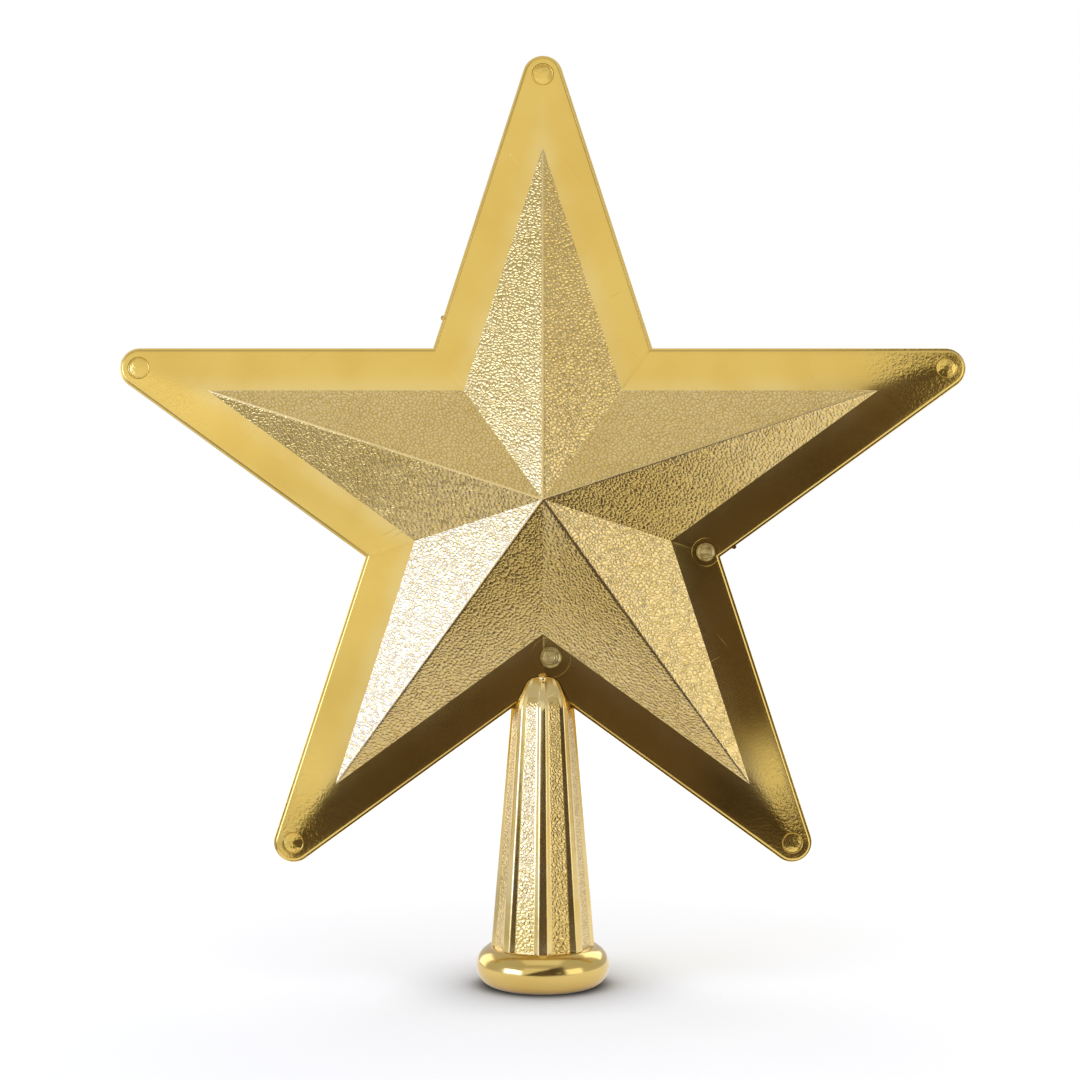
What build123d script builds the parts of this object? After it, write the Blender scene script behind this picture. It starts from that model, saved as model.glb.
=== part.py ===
"""Tree topper star: two moulded star shells pinned together over a fluted post with a bead ring.

Millimetres. The origin is the centre of the trunk socket's mouth on the standing surface, +Z is up
and the star's front faces -Y. Both shells are shaped in the star's own plane, where the third
coordinate is the depth outward from the parting plane, and are then turned into place.
"""

import math
import os

from build123d import *

# Star outline and its place
arm_count = 5
star_apex_radius = 122.0
tip_radius = 5.0
star_centre_height = 121.3

# Depths of one shell, measured outward from the parting plane
edge_depth = 3.0
border_rise = 0.6
relief_height = 13.2

# Border, rim and walls of a shell
border_width = 10.6
shell_wall = 1.5
rim_wall = 2.0
parting_lip_width = 0.6
parting_lip_depth = 1.1
edge_chamfer = 0.5
bevel_angle = 45

# Tongue of the front shell in the rebate of the back shell
tongue_width = 1.0
tongue_length = 1.2

# Moulding gate nibs on the front shell's parting lip: how far each lies from its inner corner
nib_radius = 0.6
top_arm_nib_distance = 8.0
right_arm_nib_distance = 4.3

# Pins and their bosses
tip_pin_radius = 2.7
corner_pin_radius = 2.4
lock_pin_radius = 2.7
boss_wall = 1.5
pin_recess = 0.2
pin_dish_depth = 0.3
pin_lip = 0.5
blind_floor = 1.3
corner_pin_distance = 3.9
lock_pin_offset = 2.0
lock_pin_rise = 7.2

# Fluted post, whose head is placed from the star's lower inner corner
flute_count = 8
foot_radius = 12.9
shoulder_radius = 7.9
shoulder_drop = 5.5
head_radius = 3.2
head_rise = 2.5
flute_foot_depth = 0.8
flute_top_depth = 0.5
flute_floor_share = 0.5
flute_mouth_share = 0.79

# Neck and tang on the post's head, held between the shells
neck_radius = 2.0
neck_rise = 3.9
tang_width = 13.0
tang_thickness = 2.8
tang_rise = 13.3
tang_round = 2.0

# Trunk socket inside the post
socket_radius = 10.0
socket_land_height = 12.0
socket_end_radius = 6.1
socket_end_drop = 10.7
socket_tip_radius = 3.0
socket_top_drop = 3.0

# Bead ring and the post's spigot inside it
bead_radius = 16.7
bead_round_radius = 5.1
bead_round_height = 5.0
seat_height = 9.7
spigot_wall = 1.4
ring_lip_height = 1.2

# Fits
pin_clearance = 0.05
slip_clearance = 0.1
overrun = 2.0

# Angles that a five-pointed star's straight edges fix
half_tip = math.radians(180 / arm_count / 2)
arm_step = math.radians(360 / arm_count)
half_notch = math.pi - half_tip - arm_step / 2

# Derived lengths
base_depth = edge_depth + border_rise
apex_depth = base_depth + relief_height
rim_inset = parting_lip_width + rim_wall
edge_inset = parting_lip_width + edge_chamfer
arm_half_width = star_apex_radius * math.sin(half_tip)
border_tilt = math.atan2(border_rise, border_width - edge_inset)
border_crown = edge_depth + (arm_half_width - edge_inset) * math.tan(border_tilt)
facet_tilt = math.atan2(relief_height, arm_half_width - border_width)
relief_wall_inset = shell_wall * math.tan(facet_tilt / 2)
relief_wall_depth = shell_wall / math.cos(facet_tilt)
tip_centre_radius = star_apex_radius - tip_radius / math.sin(half_tip)
waist_radius = star_apex_radius * math.sin(half_tip) / math.sin(half_notch)
tip_angles = {
    "top": math.pi / 2,
    "right": math.pi / 2 - arm_step,
    "lower_right": math.pi / 2 - 2 * arm_step,
    "lower_left": math.pi / 2 - 3 * arm_step,
    "left": math.pi / 2 - 4 * arm_step,
}
right_corner_angle = tip_angles["right"] - arm_step / 2
corner_height = star_centre_height - waist_radius
tang_foot_height = corner_height + rim_inset / math.sin(half_notch) + slip_clearance
tang_top_height = corner_height + tang_rise
shoulder_height = corner_height - shoulder_drop
head_top_height = corner_height + head_rise
neck_top_height = corner_height + neck_rise
socket_end_height = corner_height - socket_end_drop
socket_top_height = corner_height - socket_top_drop

star_centre = (0, 0, star_centre_height)
front_plane = Plane(origin=star_centre, x_dir=(1, 0, 0), z_dir=(0, -1, 0))
back_plane = Plane(origin=star_centre, x_dir=(-1, 0, 0), z_dir=(0, 1, 0))


def polar(radius, angle):
    """Point of the star's plane at a radius and an angle."""
    return Vector(radius * math.cos(angle), radius * math.sin(angle))


def star_corners(inset, depth):
    """Tips and inner corners in turn of a sharp star inside the parting outline, at one depth."""
    apex_radius = star_apex_radius - inset / math.sin(half_tip)
    corner_radius = apex_radius * math.sin(half_tip) / math.sin(half_notch)
    corners = []
    for arm in range(arm_count):
        angle = math.pi / 2 + arm * arm_step
        corners.append(polar(apex_radius, angle) + Vector(0, 0, depth))
        corners.append(polar(corner_radius, angle + arm_step / 2) + Vector(0, 0, depth))
    return corners


def rim_face(inset, depth):
    """Flat star inside the parting outline whose rounded tips stay concentric with its tips."""
    corners = star_corners(inset, depth)
    tip_round = tip_radius - inset
    trim = tip_round / math.tan(half_tip)
    edges = []
    for arm in range(arm_count):
        apex = corners[2 * arm]
        before = corners[2 * arm - 1]
        after = corners[2 * arm + 1]
        arc_start = apex + (before - apex).normalized() * trim
        arc_end = apex + (after - apex).normalized() * trim
        arc_crown = polar(tip_centre_radius + tip_round, math.pi / 2 + arm * arm_step)
        edges.append(Line(before, arc_start))
        edges.append(ThreePointArc(arc_start, arc_crown + Vector(0, 0, depth), arc_end))
        edges.append(Line(arc_end, after))
    return make_face(edges)


def star_block(inset, foot, crown, tilt):
    """Sharp star with upright walls from its foot, roofed by flat facets that tilt up to one crown."""
    eave = crown - (arm_half_width - inset) * math.tan(tilt)
    low = star_corners(inset, foot)
    high = star_corners(inset, eave)
    peak = Vector(0, 0, crown)
    faces = [Face(Wire.make_polygon(low))]
    for this in range(2 * arm_count):
        last = this - 1
        faces.append(Face(Wire.make_polygon([low[last], low[this], high[this], high[last]])))
        faces.append(Face(Wire.make_polygon([high[last], high[this], peak])))
    return Solid(Shell(faces))


def border_depth(edge_distance):
    """Depth of the sloped border at a distance inward from the parting outline."""
    return edge_depth + (edge_distance - edge_inset) * math.tan(border_tilt)


def rod(centre, radius, low, high):
    """Upright cylinder in the star's plane between two depths."""
    return Pos(centre.X, centre.Y, low) * Cylinder(
        radius, high - low, align=(Align.CENTER, Align.CENTER, Align.MIN)
    )


tip_centres = {name: polar(tip_centre_radius, angle) for name, angle in tip_angles.items()}
corner_centre = polar(waist_radius - corner_pin_distance, right_corner_angle)
lock_centre = Vector(lock_pin_offset, lock_pin_rise - waist_radius)
lock_edge_distance = lock_pin_rise * math.sin(half_notch)
corner_edge_distance = corner_pin_distance * math.sin(half_notch)

# Every pin: its centre, its radius, how far from the rim it stands and where its bosses end
pins = {
    f"tip_pin_{name}": (centre, tip_pin_radius, tip_radius, 0)
    for name, centre in tip_centres.items()
}
pins["corner_pin_right"] = (corner_centre, corner_pin_radius, corner_edge_distance, 0)
pins["post_lock_pin"] = (
    lock_centre,
    lock_pin_radius,
    lock_edge_distance,
    tang_thickness / 2 + slip_clearance,
)


def shell_envelope():
    """Solid half star: upright rim, bevelled edge, parting lip, sloped border and raised star."""
    rim = extrude(rim_face(parting_lip_width, 0), apex_depth)
    bevel_inset = edge_inset - edge_depth * math.tan(math.radians(bevel_angle))
    bevel = extrude(rim_face(bevel_inset, 0), base_depth + border_rise, taper=bevel_angle)
    border = star_block(0, 0, border_crown, border_tilt)
    relief = star_block(border_width, parting_lip_depth, apex_depth, facet_tilt)
    return (rim & bevel & border) + relief + extrude(rim_face(0, 0), parting_lip_depth)


def shell_cavity():
    """Hollow of a half star, one wall inside its outer faces and open at the parting plane."""
    rim = extrude(rim_face(rim_inset, -overrun), apex_depth + overrun)
    border = star_block(0, -overrun, border_crown - shell_wall, border_tilt)
    relief = star_block(
        border_width + relief_wall_inset, -overrun, apex_depth - relief_wall_depth, facet_tilt
    )
    return (rim & border) + relief


def mirrored(centre, side):
    """Pin centre as one shell sees it: the back shell is turned about the upright axis."""
    return Vector(centre.X * side, centre.Y)


def pin_bosses(envelope, side):
    """Bosses around all pins, kept inside the shell's own outline."""
    bosses = [
        rod(mirrored(centre, side), radius + pin_clearance + boss_wall, foot, base_depth)
        for centre, radius, _, foot in pins.values()
    ]
    return [boss & envelope for boss in bosses]


def tongue():
    """Lip of the front shell that enters the back shell's rebate, clear of bosses."""
    outer = extrude(rim_face(rim_inset - tongue_width, -tongue_length), tongue_length)
    inner = extrude(rim_face(rim_inset, -tongue_length), tongue_length)
    ring = outer - inner
    for centre, radius, _, _ in pins.values():
        ring -= rod(centre, radius + boss_wall + 2 * slip_clearance, -tongue_length - overrun, 0)
    return ring


def rebate():
    """Room in the back shell's rim for the tongue."""
    depth = tongue_length + slip_clearance
    inset = rim_inset - tongue_width - slip_clearance
    return extrude(rim_face(inset, -overrun), depth + overrun)


def gate_nib(corner_angle, arm_angle, distance):
    """Broken-off gate on the parting lip, at a distance from an inner corner along an arm's edge."""
    corner = polar(waist_radius, corner_angle)
    toward = polar(star_apex_radius, arm_angle) - corner
    return rod(corner + toward.normalized() * distance, nib_radius, 0, parting_lip_depth)


def post_profile(clearance):
    """Half outline of the post's cone, domed head and neck, grown by a clearance."""
    slope = (shoulder_radius - foot_radius) / (shoulder_height - seat_height)
    head_top = head_top_height + clearance
    neck_top = neck_top_height + clearance
    foot = (foot_radius + clearance, seat_height)
    shoulder = (shoulder_radius + clearance, shoulder_height)
    crown = (head_radius + clearance, head_top)
    bend = (shoulder[0] + slope * (head_top_height - shoulder_height), head_top)
    neck_foot = (neck_radius + clearance, head_top)
    neck_end = (neck_radius + clearance, neck_top)
    inner = Polyline(crown, neck_foot, neck_end, (0, neck_top), (0, seat_height), foot, shoulder)
    return inner + Bezier(shoulder, bend, crown)


def turned(outline):
    """Solid of revolution about the upright axis from a closed half outline."""
    return revolve(Plane.XZ * make_face(outline), Axis.Z)


def flute():
    """Cutter for one flat-floored flute, centred on the +X side, fading out on the dome."""
    half_pitch = math.pi / flute_count
    sections = []
    for height, rib_radius, depth in (
        (seat_height, foot_radius, flute_foot_depth),
        (shoulder_height, shoulder_radius, flute_top_depth),
    ):
        pitch = 2 * rib_radius * math.sin(half_pitch)
        floor_half = pitch * flute_floor_share / 2
        mouth_half = pitch * flute_mouth_share / 2
        floor = rib_radius * math.cos(half_pitch * flute_floor_share) - depth
        mouth = rib_radius * math.cos(half_pitch * flute_mouth_share)
        flare = (mouth_half - floor_half) / (mouth - floor)
        far = rib_radius + overrun
        far_half = mouth_half + flare * (far - mouth)
        corners = [(floor, -floor_half), (far, -far_half), (far, far_half), (floor, floor_half)]
        sections.append((height, corners))
    low_height, low = sections[0]
    high_height, high = sections[1]
    reach = (head_top_height - low_height) / (high_height - low_height)
    top = [(a[0] + (b[0] - a[0]) * reach, a[1] + (b[1] - a[1]) * reach) for a, b in zip(low, high)]
    faces = [
        Pos(0, 0, low_height) * make_face(Polyline(*low, close=True)),
        Pos(0, 0, head_top_height) * make_face(Polyline(*top, close=True)),
    ]
    return loft(faces, ruled=True)


def socket():
    """Trunk socket: a straight land at the mouth, a long taper and a blunt cone at its end."""
    return turned(
        Polyline(
            (0, -overrun),
            (socket_radius, -overrun),
            (socket_radius, socket_land_height),
            (socket_end_radius, socket_end_height),
            (socket_tip_radius, socket_top_height),
            (0, socket_top_height),
            close=True,
        )
    )


def fluted_post():
    """Post with ribs and flutes, spigot, trunk socket and the pinned tang on its head."""
    cone = turned(post_profile(0))
    for index in range(flute_count):
        cone -= Rot(0, 0, (index + 1 / 2) * 360 / flute_count) * flute()
    spigot_foot = ring_lip_height + slip_clearance
    spigot = Pos(0, 0, spigot_foot) * Cylinder(
        socket_radius + spigot_wall,
        seat_height - spigot_foot,
        align=(Align.CENTER, Align.CENTER, Align.MIN),
    )
    tang = Pos(0, 0, tang_foot_height) * Box(
        tang_width,
        tang_thickness,
        tang_top_height - tang_foot_height,
        align=(Align.CENTER, Align.CENTER, Align.MIN),
    )
    tang = fillet(tang.edges().filter_by(Axis.Y).group_by(Axis.Z)[-1], tang_round)
    post = cone + spigot + tang - socket()
    hole = front_plane * rod(
        lock_centre, lock_pin_radius + pin_clearance, -tang_thickness, tang_thickness
    )
    return post - hole


def base_ring():
    """Bead ring: round outside, flat foot and seat, bore for the spigot and a lip under it."""
    round_centre = bead_radius - bead_round_radius
    foot_edge = round_centre + math.sqrt(bead_round_radius**2 - bead_round_height**2)
    rise = seat_height - bead_round_height
    seat_edge = round_centre + math.sqrt(bead_round_radius**2 - rise**2)
    bore = socket_radius + spigot_wall + slip_clearance
    outline = Polyline(
        (seat_edge, seat_height),
        (bore, seat_height),
        (bore, ring_lip_height),
        (socket_radius, ring_lip_height),
        (socket_radius, 0),
        (foot_edge, 0),
    ) + ThreePointArc(
        (foot_edge, 0), (bead_radius, bead_round_height), (seat_edge, seat_height)
    )
    return turned(outline)


def front_shell(head):
    """Front half star: through holes for the pins, tongue and gate nibs."""
    envelope = shell_envelope()
    shell = envelope - shell_cavity() + pin_bosses(envelope, 1) + tongue()
    for centre, radius, _, _ in pins.values():
        shell -= rod(centre, radius + pin_clearance, -overrun, base_depth + overrun)
    left_of_top = tip_angles["top"] + arm_step / 2
    shell += gate_nib(left_of_top, tip_angles["top"], top_arm_nib_distance)
    shell += gate_nib(right_corner_angle, tip_angles["right"], right_arm_nib_distance)
    return front_plane * shell - head


def back_shell(head):
    """Back half star: blind holes for the pins and a rebate for the tongue."""
    envelope = shell_envelope()
    shell = envelope - shell_cavity() - rebate() + pin_bosses(envelope, -1)
    for centre, radius, edge_distance, _ in pins.values():
        floor = border_depth(edge_distance) - blind_floor
        shell -= rod(mirrored(centre, -1), radius + pin_clearance, -overrun, floor)
    return back_plane * shell - head


def joining_pin(centre, radius, edge_distance):
    """Pin with a dished end just under the front border, down to the back shell's blind floor."""
    face = border_depth(edge_distance)
    low = -(face - blind_floor) + slip_clearance
    high = face - pin_recess
    dish = rod(centre, radius - pin_lip, high - pin_dish_depth, high + overrun)
    return front_plane * (rod(centre, radius, low, high) - dish)


head_seat = turned(post_profile(slip_clearance))
solids = {
    "star_front_shell": front_shell(head_seat),
    "star_back_shell": back_shell(head_seat),
    "fluted_post": fluted_post(),
    "base_ring": base_ring(),
}
for node, (centre, radius, edge_distance, _) in pins.items():
    solids[node] = joining_pin(centre, radius, edge_distance)

os.makedirs("parts", exist_ok=True)
for node, shape in solids.items():
    export_step(shape, f"parts/{node}.step")
    print(node, round(shape.volume), len(shape.solids()), shape.is_valid)
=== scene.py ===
"""Gold tree topper star: grained star shells, fluted post, bead ring and pins in a plain studio."""

import logging
import math
from collections.abc import Callable
from dataclasses import dataclass
from enum import Enum

import bpy
import numpy as np
from bpy.types import Material, Mesh, NodeSocket as Socket, Object
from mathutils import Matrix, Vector


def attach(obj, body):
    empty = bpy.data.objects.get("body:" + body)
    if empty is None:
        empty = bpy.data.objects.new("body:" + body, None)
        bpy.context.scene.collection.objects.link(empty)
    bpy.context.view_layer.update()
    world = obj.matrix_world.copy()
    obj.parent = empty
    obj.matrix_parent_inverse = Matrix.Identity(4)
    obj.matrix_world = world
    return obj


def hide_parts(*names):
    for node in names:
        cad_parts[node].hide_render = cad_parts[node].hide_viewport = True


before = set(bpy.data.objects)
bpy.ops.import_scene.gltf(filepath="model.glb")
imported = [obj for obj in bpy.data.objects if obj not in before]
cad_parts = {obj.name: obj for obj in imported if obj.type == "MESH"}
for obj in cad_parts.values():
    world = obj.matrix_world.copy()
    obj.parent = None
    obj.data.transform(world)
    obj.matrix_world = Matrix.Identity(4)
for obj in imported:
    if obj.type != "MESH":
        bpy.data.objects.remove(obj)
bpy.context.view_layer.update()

LOG = logging.getLogger("topper")
MM = 0.001
ROOT = "root"
GRAIN_ATTRIBUTE = "grain"
LIFT_ATTRIBUTE = "lift"
WEAR_ATTRIBUTE = "wear"
# Mask of painted shade in the crack where the parting lip meets the wall; the gate nibs are painted dark
# with it too.
PAINTED_SHADE_ATTRIBUTE = "painted_shade"
BLOOM_ATTRIBUTE = "bloom"
OUTSIDE_ATTRIBUTE = "outside"
GRAINED_FACES = "grained"

Colour = tuple[float, float, float, float]
Place = tuple[float, float, float]
Profile = list[tuple[float, float]]

GOLD: tuple[Colour, Colour] = ((0.76, 0.53, 0.120, 1.0), (0.72, 0.485, 0.100, 1.0))
PALE_GOLD: tuple[Colour, Colour] = ((0.72, 0.515, 0.155, 1.0), (0.68, 0.475, 0.130, 1.0))
CHAMPAGNE: tuple[Colour, Colour] = ((0.80, 0.62, 0.27, 1.0), PALE_GOLD[0])


class Side(Enum):
    """Which half of the star a shell is."""

    FRONT = "front"
    BACK = "back"


class Arm(Enum):
    """An arm of the star, counted leftwards from the top one."""

    TOP = 0
    LEFT = 1
    LOWER_LEFT = 2
    LOWER_RIGHT = 3
    RIGHT = 4


class PinLook(Enum):
    """How the end of a joining pin is finished."""

    PLATED = "plated"
    BARE = "bare"


def smooth_share(values: np.ndarray, reach: float) -> np.ndarray:
    """Smooth rise from 0 at zero to 1 at a reach.

    Args:
        values: Distances.
        reach: Distance at which the rise ends.

    Returns:
        The share at each distance.
    """
    share = np.clip(values / reach, 0, 1)
    return share * share * (3 - 2 * share)


def arc(centre: tuple[float, float], radius: float, start: float, end: float, steps: int) -> Profile:
    """Points of a circular arc.

    Args:
        centre: Centre of the arc.
        radius: Radius of the arc.
        start: First angle in degrees.
        end: Last angle in degrees.
        steps: Number of straight steps.

    Returns:
        The points from the first angle to the last.
    """
    angles = np.radians(np.linspace(start, end, steps + 1))
    return [(centre[0] + radius * math.cos(a), centre[1] + radius * math.sin(a)) for a in angles]


def new_piece(name: str, vertices: np.ndarray, faces: list[tuple[int, ...]]) -> Object:
    """Make a mesh object in the scene.

    Args:
        name: Name of the object.
        vertices: Points in metres.
        faces: Corner numbers of each face.

    Returns:
        The object, at the origin.
    """
    mesh = bpy.data.meshes.new(name)
    mesh.from_pydata([tuple(v) for v in vertices], [], faces)
    mesh.update()
    piece = bpy.data.objects.new(name, mesh)
    bpy.context.scene.collection.objects.link(piece)
    return piece


def settle(piece: Object) -> None:
    """Turn a piece's modifiers into its own plain mesh.

    Args:
        piece: The object to settle.
    """
    graph = bpy.context.evaluated_depsgraph_get()
    mesh = bpy.data.meshes.new_from_object(piece.evaluated_get(graph))
    old = piece.data
    piece.modifiers.clear()
    piece.data = mesh
    mesh.name = piece.name
    bpy.data.meshes.remove(old)


def combine(piece: Object, tool: Object, operation: str) -> None:
    """Cut a tool out of a piece or weld it on in the piece's first finish, and remove the tool.

    Args:
        piece: The closed piece.
        tool: The closed tool.
        operation: DIFFERENCE or UNION.
    """
    for material in list(piece.data.materials)[:1]:
        tool.data.materials.append(material)
    modifier = piece.modifiers.new("combine", "BOOLEAN")
    modifier.solver = "MANIFOLD"
    modifier.material_mode = "TRANSFER"
    modifier.operation = operation
    modifier.object = tool
    settle(piece)
    mesh = tool.data
    bpy.data.objects.remove(tool)
    bpy.data.meshes.remove(mesh)


def coordinates(mesh: Mesh) -> np.ndarray:
    """Vertex positions of a mesh as rows of three."""
    points = np.empty(len(mesh.vertices) * 3)
    mesh.vertices.foreach_get("co", points)
    return points.reshape(-1, 3)


def move_to(piece: Object, points: np.ndarray) -> None:
    """Give a piece's vertices new positions, as rows of three."""
    piece.data.vertices.foreach_set("co", points.ravel())
    piece.data.update()


def store(mesh: Mesh, name: str, values: np.ndarray) -> None:
    """Keep one number for each vertex as a mesh attribute.

    Args:
        mesh: The mesh.
        name: Name of the attribute.
        values: One number for each vertex.
    """
    attribute = mesh.attributes.get(name) or mesh.attributes.new(name, "FLOAT", "POINT")
    attribute.data.foreach_set("value", values.astype(np.float32))


def turned(name: str, profile: Profile, columns: int, looped: bool = False) -> Object:
    """Turn a half outline about the upright axis.

    Args:
        name: Name of the object.
        profile: Radius and height of each point; a radius of zero is a pole.
        columns: Number of points around.
        looped: Whether the last point joins the first.

    Returns:
        The closed turned object.
    """
    angles = 2 * math.pi * np.arange(columns) / columns
    around = np.stack([np.cos(angles), np.sin(angles)], axis=1)
    vertices: list[np.ndarray] = []
    rings: list[list[int]] = []
    for radius, height in profile:
        ring = around * radius if radius > 0 else np.zeros((1, 2))
        first = sum(len(v) for v in vertices)
        rings.append(list(range(first, first + len(ring))))
        vertices.append(np.column_stack([ring, np.full(len(ring), height)]))
    pairs = list(zip(rings, rings[1:] + rings[:1])) if looped else list(zip(rings, rings[1:]))
    faces: list[tuple[int, ...]] = []
    for low, high in pairs:
        for this in range(columns):
            after = (this + 1) % columns
            corners = [low[this % len(low)], low[after % len(low)]]
            corners += [high[after % len(high)], high[this % len(high)]]
            faces.append(tuple(dict.fromkeys(corners)))
    return new_piece(name, np.vstack(vertices), faces)


def mark_sharp(piece: Object, angle: float, extra: np.ndarray | None = None) -> None:
    """Shade a piece smooth, with sharp edges at its creases and where two finishes meet.

    Args:
        piece: The object.
        angle: Crease angle in degrees, used between polished faces.
        extra: Further edges that are sharp.
    """
    mesh = piece.data
    mesh.shade_smooth()
    normals = np.empty(len(mesh.polygons) * 3)
    mesh.polygons.foreach_get("normal", normals)
    normals = normals.reshape(-1, 3)
    finish = np.empty(len(mesh.polygons), dtype=np.int32)
    mesh.polygons.foreach_get("material_index", finish)
    edges = np.empty(len(mesh.loops), dtype=np.int32)
    mesh.loops.foreach_get("edge_index", edges)
    sizes = np.empty(len(mesh.polygons), dtype=np.int32)
    mesh.polygons.foreach_get("loop_total", sizes)
    owner = np.repeat(np.arange(len(sizes)), sizes)
    order = np.argsort(edges, kind="stable")
    pairs = owner[order].reshape(-1, 2)
    turn = np.einsum("ij,ij->i", normals[pairs[:, 0]], normals[pairs[:, 1]])
    polished = finish[pairs] == 0
    sharp = (turn < math.cos(math.radians(angle))) & polished.all(axis=1)
    sharp |= polished[:, 0] != polished[:, 1]
    if extra is not None:
        sharp |= extra
    attribute = mesh.attributes.get("sharp_edge") or mesh.attributes.new("sharp_edge", "BOOLEAN", "EDGE")
    attribute.data.foreach_set("value", sharp)


class NodeBench:
    """Adds and links the nodes of one tree, so that a tree reads as a list of steps."""

    def __init__(self, tree: bpy.types.NodeTree) -> None:
        """Keep the tree that nodes are added to."""
        self.tree = tree

    def add(self, kind: str, inputs: dict | None = None, **settings: object) -> bpy.types.Node:
        """Add a node.

        Args:
            kind: Type of the node.
            inputs: Value or linked output for each input, by its name or number.
            **settings: Properties of the node.

        Returns:
            The new node.
        """
        node = self.tree.nodes.new(kind)
        for key, value in settings.items():
            setattr(node, key, value)
        for key, value in (inputs or {}).items():
            if isinstance(value, Socket):
                self.tree.links.new(value, node.inputs[key])
            else:
                node.inputs[key].default_value = value
        return node

    def math(self, operation: str, *values: object) -> Socket:
        """Result of a Math node on numbers or outputs."""
        return self.add("ShaderNodeMath", dict(enumerate(values)), operation=operation).outputs[0]

    def vector(self, operation: str, *values: object) -> Socket:
        """Vector result of a Vector Math node on vectors or outputs."""
        node = self.add("ShaderNodeVectorMath", dict(enumerate(values)), operation=operation)
        return node.outputs[0]

    def number(self, operation: str, *values: object) -> Socket:
        """Number that a Vector Math node gives for vectors or outputs."""
        node = self.add("ShaderNodeVectorMath", dict(enumerate(values)), operation=operation)
        return node.outputs["Value"]

    def scaled(self, vector: Socket, factor: object) -> Socket:
        """A vector times a number."""
        node = self.add("ShaderNodeVectorMath", {0: vector, "Scale": factor}, operation="SCALE")
        return node.outputs[0]

    def between(
        self, value: object, low: object, high: object, start: object, end: object
    ) -> Socket:
        """Straight-line value that goes from start at low to end at high, also outside them."""
        inputs = {0: value, 1: low, 2: high, 3: start, 4: end}
        return self.add("ShaderNodeMapRange", inputs, clamp=False).outputs[0]

    def mixed(self, share: object, first: object, second: object) -> Socket:
        """Colour between a first and a second one."""
        inputs = {"Factor": share, 6: first, 7: second}
        return self.add("ShaderNodeMix", inputs, data_type="RGBA").outputs[2]

    def shaded(self, name: str) -> Socket:
        """In a material, a number kept on the mesh, 0 where the mesh has none."""
        return self.add("ShaderNodeAttribute", attribute_name=name).outputs["Fac"]

    def named(self, name: str, kind: str = "FLOAT") -> Socket:
        """In a geometry tree, an attribute of the mesh."""
        node = self.add("GeometryNodeInputNamedAttribute", {"Name": name}, data_type=kind)
        return node.outputs[0]

    def rise(self, value: object, low: object, high: object) -> Socket:
        """Smooth rise from 0 at low to 1 at high."""
        inputs = {0: value, 1: low, 2: high, 3: 0.0, 4: 1.0}
        return self.add("ShaderNodeMapRange", inputs, interpolation_type="SMOOTHSTEP").outputs[0]

    def fall(self, value: object, low: object, high: object) -> Socket:
        """Smooth fall from 1 at low to 0 at high."""
        return self.math("SUBTRACT", 1.0, self.rise(value, low, high))

    def product(self, first: object, *others: object) -> Socket:
        """Product of two or more numbers or outputs."""
        for other in others:
            first = self.math("MULTIPLY", first, other)
        return first

    def parts(self, place: object) -> list[Socket]:
        """The three parts of a position."""
        return list(self.add("ShaderNodeSeparateXYZ", {0: place}).outputs)

    def from_axis(self, place: Socket, centre: Place) -> Socket:
        """Distance of a place from an axis that runs from front to back through a centre."""
        off = self.vector("MULTIPLY", self.vector("SUBTRACT", place, centre), (1.0, 0.0, 1.0))
        return self.number("LENGTH", off)

    def noise(self, place: object, size: float, detail: float, output: str = "Fac") -> Socket:
        """Noise of about one blob for each size.

        Args:
            place: Position in metres.
            size: Size of a blob in metres.
            detail: Levels of finer noise.
            output: Fac or Color.

        Returns:
            The noise's output.
        """
        inputs = {"Vector": place, "Scale": 1 / size, "Detail": detail}
        return self.add("ShaderNodeTexNoise", inputs).outputs[output]


def new_material(name: str) -> tuple[Material, NodeBench, Socket]:
    """Make an empty node material.

    Args:
        name: Name of the material.

    Returns:
        The material, the bench for its nodes and the Object coordinates.
    """
    material = bpy.data.materials.new(name)
    material.use_nodes = True
    material.node_tree.nodes.clear()
    bench = NodeBench(material.node_tree)
    return material, bench, bench.add("ShaderNodeTexCoord").outputs["Object"]


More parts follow.
